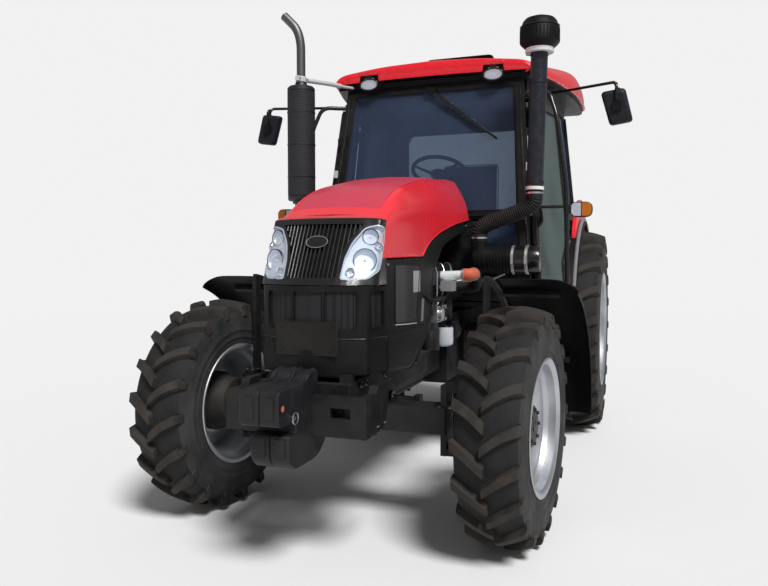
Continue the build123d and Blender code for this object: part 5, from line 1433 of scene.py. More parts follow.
def screen(x, z, out=0.0):
    """A point on the outer face of the windscreen's frame."""
    normal = Vector((0, -1, 0.1773)).normalized()
    return Vector((x, 1258 + 0.1773 * (z - 1678), z)) + normal * out


def cab_seals():
    """Rubber beads round the windscreen and the low windows."""
    shape = Shape()
    for corners in ([(-618, 1678), (618, 1678), (565, 2507), (-565, 2507)],
                    [(380, 1300), (650, 1300), (625, 1600), (400, 1600)],
                    [(-650, 1300), (-380, 1300), (-400, 1600), (-625, 1600)]):
        ring = flat_curve(corners, 30, 5)
        shape.loop([screen(x, z, 1) for x, z in around(ring, 1)], 6.5, "seal_rubber", 8)
    for side in (1, -1):
        ring = flat_curve([(2070, 1720), (2640, 1720), (2640, 2480), (2070, 2480)], 40, 5)
        shape.loop([cab_side(d, z, 1, side) for d, z in ring], 6, "seal_rubber", 8)
        shape.tube([screen(side * x, z, 3) for x, z in ((726, 1100), (676, 1640), (626, 2200), (606, 2500))],
                   7, "cab_enamel", 8, 20)
    shape.loop([(p.x, 2702 - 4, p.z) for p in softened([(-600, 0, 1720), (600, 0, 1720), (600, 0, 2440),
                                                        (-600, 0, 2440)], 40, 5, closed=True)],
               6, "seal_rubber", 8)
    for side in (1, -1):
        for z in (1330, 1470):
            shape.tube([screen(side * 700, z, 2), screen(side * 690, z + 90, 2)], 4, "seal_rubber", 6)
    # wipe-down ledge and cowl below the windscreen
    rows = [[screen(x, z, o) for x in range(-640, 641, 40)]
            for z, o in ((1610, 2), (1622, 16), (1652, 20), (1664, 2))]
    shape.skin(rows, "black_moulding", closed=False)
    shape.tube([screen(x, 1640, 14) for x in (-635, 0, 635)], 12, "black_moulding", 10)
    shape.place("cab_seals", "chassis", "panel_black", sharp=40)


def door_trims():
    """Edge beads, handles and hinges of the doors and of the rear window."""
    for side, word in ((1, "left"), (-1, "right")):
        shape = Shape()

        def edge(z):
            return 1258 + 0.1773 * (z - 1678) + 45

        def at(d, z, out):
            return cab_side(d, z, out, side)

        outline = [(edge(1120), 1120), (edge(2425), 2425), (1972, 2425), (1972, 1480),
                   (1800, 1310), (1790, 1120)]
        ring = flat_curve(outline, 34, 5)
        shape.loop([at(d, z, 31) for d, z in around(ring, -7)], 5.5, "cab_enamel", 8)
        inner = flat_curve([(edge(1165) + 45, 1168), (edge(2380) + 45, 2380), (1927, 2380), (1927, 1500),
                            (1764, 1338), (1748, 1168)], 34, 5)
        shape.loop([at(d, z, 27) for d, z in inner], 6.5, "seal_rubber", 8)
        a = edge(1630)
        grip = [at(a + 26, 1572, 34), at(a + 26, 1580, 58),
                at(a + 30, 1630, 62), at(a + 34, 1684, 58),
                at(a + 34, 1692, 34)]
        shape.tube(grip, 9, "black_gloss", 12, 16)
        shape.rod(at(a + 28, 1604, 28), at(a + 28, 1604, 38), 13, "chrome", 20)
        shape.rod(at(a + 28, 1604, 38), at(a + 28, 1604, 40), 5, "bolt_black", 12)
        for z in (1620, 2330):
            shape.rod(at(1995, z - 40, 20), at(1995, z + 40, 20), 13, "black_gloss", 16)
            shape.bolts([at(1955, z + k, 30) for k in (-16, 16)],
                        at(1955, z, 60) - at(1955, z, 30), 10, "bolt_black", "zinc")
        shape.tube([at(1700, 1240, 8), at(1705, 1500, 2), at(1720, 1760, 0)], 7, "black_gloss", 10)
        shape.place(f"{word}_door_trim", f"{word}_door", "panel_black", sharp=40)
    rear = Shape()
    ring = flat_curve([(-610, 1710), (610, 1710), (610, 2447), (-610, 2447)], 34, 5)
    rear.loop([(x, 2763, z) for x, z in ring], 5, "seal_rubber", 8)
    for x in (-330, 330):
        rear.block((x - 24, x + 24), (2752, 2776), (2446, 2492), "black_gloss")
    rear.block((-40, 40), (2763, 2790), (1724, 1752), "black_gloss")
    rear.place("rear_window_trim", "rear_window", "panel_black")


def wiper():
    """Wiper that hangs from the top of the windscreen, and the strip it sits on."""
    shape = Shape()
    shape.block((-36, 36), (1368, 1400), (2496, 2532), "black_moulding")
    pivot, tip = screen(0, 2504, 24), screen(330, 2255, 22)
    shape.rod(screen(0, 2504, 4), screen(0, 2504, 34), 17, "black_gloss", 18)
    shape.beam(pivot, pivot.lerp(tip, 0.5), 30, 9, "black_gloss", up=(0, -1, 0.2))
    shape.beam(pivot.lerp(tip, 0.46), tip, 20, 7, "black_gloss", up=(0, -1, 0.2))
    shape.beam(screen(96, 2432, 11), screen(468, 2150, 11), 13, 14, "seal_rubber", up=(0, -1, 0.2))
    shape.beam(screen(120, 2414, 20), screen(446, 2167, 20), 14, 5, "black_gloss", up=(0, -1, 0.2))
    shape.place("wiper", "chassis", "panel_black", edge=1)


def pillar_trim():
    """Hinge plates on the front pillars and beads down the rear corners."""
    shape = Shape()
    for z in (1750, 1960, 2190):
        x, d = 676 - (z - 1750) * 0.06, screen(0, z).y
        look = "clamp_grey" if z == 1960 else "black_gloss"
        shape.block((x, x + 30), (d - 5, d + 4), (z - 26, z + 26), look)
    shape.tube([cab_side(2690, 1740, 6), cab_side(2690, 2500, 6)], 9, "cab_enamel", 10)
    shape.both_sides()
    shape.place("pillar_trim", "chassis", "panel_black", edge=1)


class TRACTOR_OT_cab(bpy.types.Operator):
    """Cab frame, glass, doors, seals, handles and wiper"""

    bl_idname = "tractor.cab"
    bl_label = "Cab"

    def execute(self, context):
        dress("cab_enamel", "cab_front_frame", "cab_rear_frame", "cab_side_frames", edge=8)
        dress("black_moulding", "cab_floor", edge=6)
        dress("screen_glass", "cab_glass", edge=0)
        dress("door_glass", "left_door_glass", "right_door_glass", edge=0)
        dress("door_glass", "rear_window", edge=0)
        dress("cab_enamel", "left_door", "right_door", edge=6)
        cab_seals()
        door_trims()
        wiper()
        pillar_trim()
        return {"FINISHED"}


ROOF = [(1335, [690, 690, 2622, 640, 2656, 350, 2690, 2700]),
        (1450, [715, 715, 2636, 650, 2676, 350, 2716, 2731]),
        (1750, [798, 798, 2650, 716, 2708, 372, 2762, 2771]),
        (2230, [890, 890, 2690, 857, 2755, 400, 2790, 2795]),
        (2800, [900, 900, 2680, 850, 2740, 400, 2775, 2780]),
        (2880, [860, 860, 2660, 800, 2710, 400, 2745, 2750])]


def roof_half(d):
    """Half a cross-section of the roof, from its middle down to its lower edge."""
    edge, xs, zs, xb, zb, xc, zc, top = eased(ROOF, d)
    run = softened([(0, top, 0), (xc, zc, 0), (xb, zb, 0), (xs, zs, 0), (edge, 2594, 0),
                    (edge - 26, 2586, 0)], [0, 120, 60, 40, 12, 0], 6)
    crown = [Vector((run[1].x * share, top + (run[1].y - top) * share, 0)) for share in (0, 0.3, 0.6, 0.9)]
    return [(p.x, p.y) for p in crown + run[1:]]


def roof_crest(row, x):
    """Height of the front row at a distance from the middle."""
    half = [p for p in row if p.x >= 0]
    for a, b in zip(half[:-1], half[1:]):
        if a.x <= x <= b.x and b.z > 2600:
            return a.z + (b.z - a.z) * (x - a.x) / max(b.x - a.x, 0.01)
    return 2608


def roof_rim(grow):
    """The roof's outline in plan."""
    half = [(eased(ROOF, d)[0] + grow, d) for d in range(1345, 2871, 25)]
    return [(-x, d) for x, d in half] + half[::-1]


def roof_sheet(shape, rows, ends):
    """Upper and lower skins of the roof with the hatch hole between them."""
    tops = [shape.points(row) for row in rows]
    lows = [shape.points([p - Vector((p.x * 0.012, 0, 14)) for p in row]) for row in rows]
    wide = len(rows[0])
    gap = {}
    for k in range(len(rows) - 1):
        for i in range(wide - 1):
            hole = (2153 <= ends[k] and ends[k + 1] <= 2638 and abs(rows[k][i].x) < 262
                    and abs(rows[k][i + 1].x) < 262)
            gap[k, i] = hole
            if hole:
                continue
            shape.face((tops[k][i], tops[k][i + 1], tops[k + 1][i + 1], tops[k + 1][i]), "roof_enamel")
            shape.face((lows[k][i], lows[k + 1][i], lows[k + 1][i + 1], lows[k][i + 1]), "black_moulding")
    for k in range(len(rows) - 1):
        for i in range(wide - 1):
            if not gap[k, i]:
                continue
            for other, a, b in (((k - 1, i), (k, i), (k, i + 1)), ((k + 1, i), (k + 1, i + 1), (k + 1, i)),
                                ((k, i - 1), (k + 1, i), (k, i)), ((k, i + 1), (k, i + 1), (k + 1, i + 1))):
                if not gap.get(other):
                    shape.face((tops[a[0]][a[1]], lows[a[0]][a[1]], lows[b[0]][b[1]], tops[b[0]][b[1]]),
                               "roof_enamel")
    for k in range(len(rows) - 1):
        shape.face((tops[k][0], lows[k][0], lows[k + 1][0], tops[k + 1][0]), "roof_enamel")
        shape.face((tops[k][-1], tops[k + 1][-1], lows[k + 1][-1], lows[k][-1]), "roof_enamel")
    for i in range(wide - 1):
        shape.face((tops[0][i], lows[0][i], lows[0][i + 1], tops[0][i + 1]), "roof_enamel")
        shape.face((tops[-1][i], tops[-1][i + 1], lows[-1][i + 1], lows[-1][i]), "roof_enamel")


def hatch_lid():
    """Tinted hatch, ajar on its rear hinge."""
    shape = Shape(Matrix.Translation((0, 2662, 2818)) @ Matrix.Rotation(radians(-13), 4, "X")
                  @ Matrix.Translation((0, -2662, -2818)))
    corners = flat_curve([(-265, 2146), (265, 2146), (265, 2644), (-265, 2644)], 44, 6)

    def lid(a, b, h):
        return Vector((a, b, 2813 + h))

    shape.skin(raised(lid, corners, (-8, 0), (-1, 1), (0, 4), (-3, 9), (-14, 12)), "black_gloss", caps=False)
    shape.skin(raised(lid, corners, (-14, 12), (-40, 13), (-44, 10)), "black_gloss", caps=False)
    fill_opening(shape, lid, corners, "hatch_glass", 10, grow=-44, rings=2)
    # a near-black sheet under the glass is painted shade inside the cab
    fill_opening(shape, lid, corners, "dark_inside", 0, grow=-8, rings=2)
    shape.block((-60, 60), (2180, 2204), (2794, 2813), "black_gloss")
    for x in (-130, 130):
        shape.rod((x - 30, 2662, 2818), (x + 30, 2662, 2818), 9, "black_gloss", 16)
        shape.block((x - 24, x + 24), (2632, 2664), (2813, 2821), "black_gloss")
    shape.place("hatch_lid", "roof_hatch", "roof_red", ["roof_hatch"], sharp=40)


class TRACTOR_OT_roof(bpy.types.Operator):
    """Moulded roof with its liner, oval work lights and hatch"""

    bl_idname = "tractor.roof"
    bl_label = "Roof"

    def execute(self, context):
        shape = Shape()
        lamp_at = 438
        ends = [1335, 1336.5, 1341, 1349, 1362, 1380, 1405, 1430] + [1450 + 39 * i for i in range(18)]
        ends += [2131, 2140, 2153, 2162, 2200, 2260, 2330, 2400, 2470, 2540, 2600, 2630, 2638, 2648,
                 2657, 2690, 2740, 2790, 2830, 2856, 2870, 2878, 2880]
        rows = []
        for d in ends:
            lead = max(0, (1349 - d) / 14)
            tail = max(0, (d - 2830) / 50)
            half = roof_half(max(1335, min(d, 2880)))
            row = []
            for i, (x, z) in enumerate(half):
                drop = (z - 2588) * (0.09 * lead ** 2 + 0.30 * tail ** 3)
                row.append(Vector((x * (1 - 0.012 * lead ** 2 - 0.02 * tail ** 2), d, z - drop)))
            rows.append([Vector((-p.x, p.y, p.z)) for p in row[:0:-1]] + row)
        # the hatch hole is left open
        roof_sheet(shape, rows, ends)
        shape.tube([Vector((x, d, 2590)) for x, d in roof_rim(2)], 8, "roof_enamel", 8, smooth=False)
        columns = sorted({-692, 692, *range(-680, 681, 20), *(side * (lamp_at + k) for side in (1, -1)
                                                                for k in (-74, -70, -66, 66, 70, 74))})
        wall = []
        for k in range(7):
            share = k / 6
            row = []
            for x in columns:
                top = roof_crest(rows[0], abs(x))
                low = 2590 + 12 * (1 - (x / 690) ** 2)
                low += 44 * min(1, max(0, (72 - abs(abs(x) - lamp_at)) / 6))
                row.append(Vector((x, 1334.5 - 5 * sin(pi * min(1, share * 1.2)), top + (low - top) * share)))
            wall.append(row)
        shape.shell(wall, -12, "roof_enamel")
        back = [[Vector((p.x, 2879 - k, p.z + (2586 - p.z) * k / 4)) for p in rows[-1]] for k in range(5)]
        shape.shell(back, 10, "roof_enamel")
        shape.place("roof_moulding", "chassis", "roof_red", ["roof"], sharp=40)

        liner = Shape()
        plan = [(x, max(1372, d)) for x, d in roof_rim(-16)]
        hole = [(copysign(247, x), 2163 + 464 * (d - 1345) / 1525) for x, d in roof_rim(-16)]
        liner.skin([[Vector((x, d, z)) for x, d in ring] for ring, z in
                    ((plan, 2556.5), (hole, 2556.5), (hole, 2784), (plan, 2590.5), (plan, 2556.5))],
                   "black_moulding", caps=False)
        for side in (1, -1):
            centre = Vector((side * lamp_at, 1352, 2577))
            oval = [(centre.x + 62 * cos(k * tau / 32), centre.z + 36 * sin(k * tau / 32)) for k in range(32)]

            def face(a, b, h=0.0):
                return Vector((a, 1334 - h, b))

            liner.skin(raised(face, oval, (9, -50), (9, -2), (6, 3), (1, 4), (-3, -3), (-6, -16)),
                       "black_gloss", caps=False)
            # the work lamp's reflector carries painted reflection
            liner.skin(raised(face, oval, (-3, -10), (-16, -30), (-30, -36)), "lamp_bowl")
            fill_opening(liner, face, oval, "lamp_fluted", 0, grow=-3, rings=3, swell=4)
            liner.rod((centre.x, 1350, centre.z), (centre.x, 1342, centre.z), 9, "bulb_glass", 14)
            liner.block((centre.x - 84, centre.x + 84), (1352, 1400), (2560, 2650), "black_moulding")
            liner.block((centre.x - 24, centre.x + 24), (1340, 1356), (2606, 2640), "black_gloss")
            liner.rod((centre.x - 34, 1344, 2618), (centre.x + 34, 1344, 2618), 6, "bright_steel", 12)
        liner.place("roof_liner", "chassis", "panel_black", sharp=40, edge=1.5)
        hatch_lid()
        return {"FINISHED"}


class TRACTOR_OT_rear_fenders(bpy.types.Operator):
    """Rear fenders with their grey edge strips and tail lamps"""

    bl_idname = "tractor.rear_fenders"
    bl_label = "Rear fenders"

    def execute(self, context):
        shape = Shape()
        rows = []
        for k in range(57):
            angle = radians(25 + 138 * k / 56)
            end = 1 - min(1, min(k, 56 - k) / 3)
            section = softened([(640, 862, 0), (650, 880, 0), (868, 882, 0), (930, 876, 0), (936, 842, 0)],
                               [0, 12, 30, 22, 0], 4)
            rows.append([turn_about(REAR_HUB, p.y - 4 * end, angle, p.x) for p in section])
        shape.shell(rows, -5, "fender_enamel", "black_moulding")
        strip = [turn_about(REAR_HUB, 880, radians(25 + 138 * k / 70), 921) for k in range(71)]
        shape.tube(strip, 14, "strip_grey", 10, smooth=False)
        ridge = []
        for k in range(27):
            share = max(0, sin(pi * k / 26)) ** 0.6
            angle = radians(55 + 73 * k / 26)
            high = 884 + 164 * share
            ridge.append([turn_about(REAR_HUB, r, angle, x) for x, r in ((870, 878), (869, high - 12),
                                                                         (874, high), (898, high),
                                                                         (904, high - 12), (905, 878))])
        shape.skin(ridge, "fender_enamel")
        wall = [[turn_about(REAR_HUB, r, radians(25 + 138 * k / 48), 640)
                 for r in (304, 420, 560, 700, 860, 872)] for k in range(49)]
        shape.shell(wall, 6, "black_moulding")
        for angle in (40, 75, 110, 145):
            a, b = (turn_about(REAR_HUB, r, radians(angle), 644) for r in (340, 860))
            shape.beam(a, b, 26, 12, "black_moulding", up=ACROSS)
        for angle in (58, 90, 122):
            way = turn_about((0, 0), 1, radians(angle))
            shape.bolts([turn_about(REAR_HUB, 883, radians(angle), x) for x in (700, 820)], way, 14)
        shape.both_sides()
        shape.place("rear_guards", "chassis", "body_red", ["rear_fenders"], sharp=40)
        lamps = Shape()
        _, d, z = turn_about(REAR_HUB, 900, radians(150))
        high = (z - 30, z + 30)
        lamps.block((745, 865), (d - 20, d + 10), (z - 36, z + 36), "black_moulding")
        lamps.block((750, 806), (d + 8, d + 24), high, "lamp_red")
        lamps.block((808, 860), (d + 8, d + 24), high, "lamp_amber")
        lamps.both_sides()
        lamps.place("tail_lamps", "chassis", "lamp_plastic", edge=3)
        return {"FINISHED"}


# ---------------------------------------------------------------- inside the cab
def steering_wheel():
    """Steering wheel on its column."""
    tilt = atan(0.5)
    axis = Vector((0, sin(tilt), cos(tilt)))
    across = Vector(ACROSS)
    aside = axis.cross(across)
    centre = Vector((0, 1600, 1983))
    shape = Shape()

    def on_rim(k, radius, rise=0.0):
        turn = tau * k
        return centre + across * radius * cos(turn) + aside * radius * sin(turn) + axis * rise

    shape.loop([on_rim(k / 64, 190) for k in range(64)], 14, "seat_vinyl", 14)
    for k in (0.25, 0.25 + 1 / 3, 0.25 + 2 / 3):
        rows = []
        for r, rise, wide, thick in ((40, -26, 22, 8), (90, -22, 17, 7), (150, -9, 15, 7), (186, 0, 18, 8)):
            spot = on_rim(k, r, rise)
            side = axis.cross((on_rim(k, 1) - centre).normalized())
            rows.append([spot + side * wide, spot + axis * thick, spot - side * wide, spot - axis * thick])
        shape.skin(rows, "seat_vinyl")
    shape.lathe([(0, -40), (56, -38), (62, -22), (54, -8), (30, -2), (0, 0)], centre, axis, "seat_vinyl", 32)
    shape.rod(centre - axis * 36, centre - axis * 176, 24, "black_moulding", 24)
    shape.rod(centre - axis * 110, centre - axis * 174, 38, "black_moulding", 24, 44)
    for side in (-1, 1):
        a = centre - axis * 90
        shape.tube([a, a + across * side * 70 + axis * 20, a + across * side * 150 + axis * 34], 6,
                   "black_gloss", 8, 24)
    shape.place("wheel_and_column", "chassis", "moulded_black", ["steering_wheel"], sharp=42)


def cab_controls():
    """Side consoles, arm rests, gauges, pedals and levers."""
    shape = Shape()
    shape.block((300, 500), (2060, 2560), (1360, 1500), "dash_grey")
    shape.block((310, 480), (2040, 2300), (1496, 1520), "black_moulding")
    shape.block((233, 297), (2200, 2500), (1690, 1730), "seat_vinyl")
    shape.rod((265, 2480, 1480), (265, 2480, 1700), 13, "bolt_black", 12)
    shape.both_sides()
    for x, radius in ((-120, 44), (0, 58), (120, 44)):
        shape.lathe([(0, 2), (radius - 5, 2), (radius - 4, 7), (radius, 7), (radius + 1, -4)],
                    (x, 1436, 1842), (0, 0.42, 1), "gauge_face", 32,
                    ["gauge_face", "chrome", "chrome", "black_gloss"])
    for x in (-150, 90, 170):
        shape.beam((x, 1470, 1130), (x, 1440, 1260), 16, 12, "bolt_black", up=AFT)
        shape.block((x - 36, x + 36), (1466, 1480), (1130, 1190), "seal_rubber")
    for k, colour in enumerate(("black_gloss", "hose_red", "silicone_orange", "black_gloss")):
        top = Vector((-350 - 30 * k, 2100 + 20 * k, 1640))
        shape.rod((-350 - 30 * k, 2130 + 20 * k, 1510), top, 6, "bright_steel", 10)
        shape.lathe([(0, 16), (11, 12), (15, 0), (10, -14), (0, -16)], top, UP, colour, 16)
    shape.tube([(60, 1800, 1082), (60, 1790, 1300), (70, 1760, 1420)], 8, "bolt_black", 10, 60)
    shape.lathe([(0, 22), (18, 16), (22, 0), (14, -18), (0, -20)], (70, 1760, 1436), UP, "black_gloss", 18)
    for k in range(7):
        shape.lathe([(112, 0), (128, 8), (112, 16)], (0, 2330, 1290 + 16 * k - 60), UP, "seal_rubber", 36)
    shape.place("cab_controls", "chassis", "moulded_black", edge=4)


def seat_cushions():
    """Seat and back, puffed up by a short pressure simulation."""
    for name, x, d, z in (("seat_cushion", (-236, 236), (2092, 2548), (1486, 1588)),
                          ("back_cushion", (-228, 228), (2534, 2634), (1608, 2142))):
        shape = Shape()
        (x0, x1), (d0, d1), (z0, z1) = x, d, z
        ring = softened([(x0, d0, 0), (x1, d0, 0), (x1, d1, 0), (x0, d1, 0)],
                        48 if z1 - z0 < 200 else 34, 6, closed=True)
        shape.skin([[(p.x, p.y, h) for p in ring] for h in (z0, z1)], "seat_cloth")
        piece = shape.place(name, "chassis", "seat_fabric",
                            ["seat_cushions"] if name == "seat_cushion" else (), sharp=60)
        puff_up(piece)
    piping = Shape()
    piping.loop(softened([(-240, 2088, 1537), (240, 2088, 1537), (240, 2552, 1537), (-240, 2552, 1537)],
                         56, 6, closed=True), 4, "seat_vinyl", 8)
    piping.loop([(p.x, 2584, p.z) for p in softened([(-233, 0, 1606), (233, 0, 1606), (233, 0, 2146),
                                                     (-233, 0, 2146)], 40, 6, closed=True)],
                4, "seat_vinyl", 8)
    piping.place("seat_piping", "chassis", "seat_fabric")


def puff_up(piece):
    """Remesh one cushion and let inner pressure round it."""
    remesh = piece.modifiers.new("Grid", "REMESH")
    remesh.mode = "VOXEL"
    remesh.voxel_size = 0.008
    remesh.use_smooth_shade = True
    bpy.context.view_layer.objects.active = piece
    bpy.ops.object.select_all(action="DESELECT")
    piece.select_set(True)
    bpy.ops.object.modifier_apply(modifier="Grid")
    before = [v.co.copy() for v in piece.data.vertices]
    cloth = piece.modifiers.new("Pressure", "CLOTH")
    cloth.settings.use_pressure = True
    cloth.settings.uniform_pressure_force = 4
    cloth.settings.effector_weights.gravity = 0
    cloth.settings.quality = 5
    scene = bpy.context.scene
    for step in range(1, 17):
        scene.frame_set(step)
    shaped = piece.evaluated_get(bpy.context.evaluated_depsgraph_get())
    after = [v.co.copy() for v in shaped.data.vertices]
    piece.modifiers.remove(cloth)
    scene.frame_set(1)
    for vertex, old, new in zip(piece.data.vertices, before, after):
        move = new - old
        vertex.co = old + (move if move.length <= 0.010 else move.normalized() * 0.010)
    finer = piece.modifiers.new("Finer", "SUBSURF")
    finer.levels = finer.render_levels = 1


class TRACTOR_OT_interior(bpy.types.Operator):
    """Dashboard, steering wheel, seat, levers and pedals"""

    bl_idname = "tractor.interior"
    bl_label = "Cab interior"

    def execute(self, context):
        dress("dash_grey", "dashboard", edge=10)
        dress("black_moulding", "seat_base", edge=8)
        steering_wheel()
        cab_controls()
        seat_cushions()
        return {"FINISHED"}


# ---------------------------------------------------------------- exhaust and intake
class TRACTOR_OT_exhaust(bpy.types.Operator):
    """Muffler with its punched shield and the bent tail pipe"""

    bl_idname = "tractor.exhaust"
    bl_label = "Exhaust"

    def execute(self, context):
        shape = Shape()
        x, d = MUFFLER_X, MUFFLER_D
        shape.tube([(-225, 900, 1262), (x, d, 1262), (x, d, 1746)], 44, "muffler_end", 24, 108, 8)
        shape.lathe([(43, 1722), (58, 1726), (60, 1740), (84, 1744), (90, 1752), (90.5, 1770), (87, 1772),
                     (87, 1776)], (x, d, 0), UP, "muffler_end", 48)
        shape.lathe([(90.5, 1776), (90.5, 2452)], (x, d, 0), UP, "muffler_sheet", 64)
        shape.lathe([(90.5, 2452), (87, 2454), (87, 2458), (90.5, 2460), (90, 2478), (80, 2489), (44, 2491),
                     (40, 2500), (38, 2516), (30, 2518)], (x, d, 0), UP, "muffler_end", 48)
        for z in (1900, 2110, 2320):
            shape.lathe([(90, -5), (93, -3), (93, 3), (90, 5)], (x, d, z), UP, "muffler_end", 48)
        path = softened([(x, d, 2505), (x, d, 2842), (x - 120, d, 2962)], [0, 120, 0], 8)
        shape.tube(path, 28.5, "gunmetal", 24, smooth=False)
        mouth = path[-1]
        ahead = (path[-1] - path[-2]).normalized()
        shape.lathe([(25, -40), (25, 0.6), (28.4, 0.6), (28.4, -3)], mouth, ahead, "gunmetal", 24)
        # a near-black disc down the pipe mouth is painted shade inside the pipe
        shape.lathe([(0, -39), (25, -39)], mouth, ahead, "dark_inside", 24)
        shape.lathe([(29, 2520), (35, 2521), (36, 2526), (36, 2550), (35, 2555), (29, 2556)], (x, d, 0), UP,
                    "clamp_grey", 32)
        shape.block((x - 12, x + 12), (d - 58, d - 34), (2522, 2554), "clamp_grey")
        shape.rod((x - 20, d - 46, 2538), (x + 20, d - 46, 2538), 5, "zinc", 10)
        shape.tube([(x + 26, d + 40, 2538), (-648, 1102, 2549), (-600, 1212, 2553)], 15, "clamp_grey", 14, 30)
        shape.tube([(-612, 1190, 2552), (-558, 1330, 2560)], 10, "clamp_grey", 12, smooth=False)
        shape.bolt((-560, 1322, 2566), UP, 15)
        shape.place("exhaust", "chassis", "exhaust_steel", ["muffler"], sharp=40)
        return {"FINISHED"}


class TRACTOR_OT_intake(bpy.types.Operator):
    """Intake stack, pre-cleaner, air cleaner and hoses"""

    bl_idname = "tractor.intake"
    bl_label = "Air intake"

    def execute(self, context):
        shape = Shape()
        foot, head = Vector((754, 1080, 1785)), Vector((776, 1080, 2640))
        axis = (head - foot).normalized()
        shape.rod(foot + axis * 6, head, 51.2, "stack_paint", 48)
        for start, end, radius, look in ((0, 20, 56.5, "white_band"), (20, 44, 54, "stack_paint")):
            shape.collar(foot, axis, 50, radius, start, end, look, 48)
        length = (head - foot).length
        shape.collar(foot + axis * (length - 44), axis, 50, 54, 0, 16, "stack_paint", 48)
        clip, up = foot + axis * (length - 36), Vector(UP)
        shape.beam(clip + Vector((-50, -30, 0)), clip + Vector((-76, -34, 0)), 18, 12, "zinc")
        shape.lathe([(50, -26), (84, -26), (86, -18), (86, -2), (60, 0)], head, up, "white_band", 56)
        shape.lathe([(60, 0), (86, 0), (110, 22), (118.5, 32), (118.5, 116), (114, 122), (116, 126),
                     (112, 134), (102, 160), (88, 176), (52, 189), (0, 190)], head, up, "black_moulding", 64)
        for k in range(36):
            turn = tau * k / 36
            way = Vector((cos(turn), sin(turn), 0))
            shape.beam(head + way * 117 + up * 36, head + way * 117 + up * 112, 6, 7,
                       "black_moulding", up=way)
        shape.lathe([(114, 122), (120, 124), (120, 130), (112, 132)], head, up, "stack_paint", 64)
        shape.bolt(head + up * 189, up, 20, "black_gloss", "black_gloss")
        for z in (1830, 2440):
            shape.collar(foot + axis * (z - foot.z), axis, 51, 55, -10, 10, "bolt_black", 40)
        shape.tube([(724, 1100, 1830), (724, 1200, 1830), (724, 1290, 1830)], 9, "cab_enamel", 12, 20)
        shape.place("intake_pipe", "chassis", "frame_black", ["intake_stack"], sharp=38)

        cleaner = Shape()
        ribs = [(0, 372), (60, 372), (82, 378), (90, 392), (90, 462), (84, 466)]
        for start in range(470, 591, 20):
            ribs += [(84, start), (90, start + 3), (90, start + 12), (84, start + 16)]
        ribs += [(84, 616), (91, 620), (91, 634), (88, 636), (88, 700), (92, 704), (92, 718), (86, 722),
                 (86, 780), (78, 794), (40, 799), (0, 800)]
        looks = ["black_moulding"] * 34 + ["zinc"] * 3 + ["black_gloss"] * 2 + ["zinc"] * 2 + ["black_gloss"] * 4
        cleaner.lathe(ribs, (0, 1100, 1355), ACROSS, "black_moulding", 56, looks)
        cleaner.rod((410, 1080, 1380), (410, 1080, 1468), 51, "black_moulding", 40)
        for x in (628, 711):
            cleaner.block((x - 8, x + 8), (1006, 1022), (1330, 1384), "bright_steel")
        cleaner.tube([(560, 1150, 1270), (480, 1120, 1230), (330, 1060, 1226), (230, 1020, 1210)], 13,
                     "hitch_steel", 10)
        cleaner.tube([(780, 1100, 1300), (784, 1100, 1250), (780, 1100, 1232)], 16, "seal_rubber", 12, 20)
        cleaner.place("air_filter", "chassis", "moulded_black", ["air_cleaner"], sharp=38)

        hoses = Shape()
        pitch = context.scene.tractor_sizes.hose_rib / MM
        run = softened([(754, 1080, 1784), (754, 1080, 1685), (410, 1080, 1565), (410, 1080, 1469)],
                       [0, 110, 75, 0], 10)
        total = sum((b - a).length for a, b in zip(run[:-1], run[1:]))
        fine = even_path([Vector(p) for p in run], pitch / 4)

        def ribbed(gone):
            if gone < 44 or gone > total - 44:
                return 50.5
            return 49.5 + 3.2 * cos(tau * gone / pitch)

        hoses.tube(fine, ribbed, "hose_rubber", 32, smooth=False)
        for a, b in ((fine[4], fine[8]), (fine[-9], fine[-5])):
            hoses.collar(a, b - a, 50, 53.5, 0, 11, "bright_steel")
        hoses.tube([(225, 650, 1262), (330, 650, 1264), (424, 650, 1268)], 27, "pipe_white", 28, smooth=False)
        hoses.tube([(408, 650, 1268), (455, 650, 1270), (455, 738, 1272)], 36, "silicone_orange", 28, 44, 8)
        hoses.tube([(455, 730, 1272), (455, 800, 1274), (450, 868, 1186), (225, 868, 1186)], 31,
                   "hose_rubber", 28, 46, 8)
        for spot, way in (((416, 650, 1268), ACROSS), ((455, 728, 1272), AFT)):
            hoses.collar(spot, way, 35, 39, -6, 6, "bright_steel", 32)
        hoses.block((300, 372), (560, 640), (1176, 1236), "aluminium")
        hoses.block((226, 304), (580, 620), (1190, 1210), "aluminium")
        hoses.place("air_hoses", "chassis", "moulded_black", ["intake_hoses"], sharp=50)
        return {"FINISHED"}


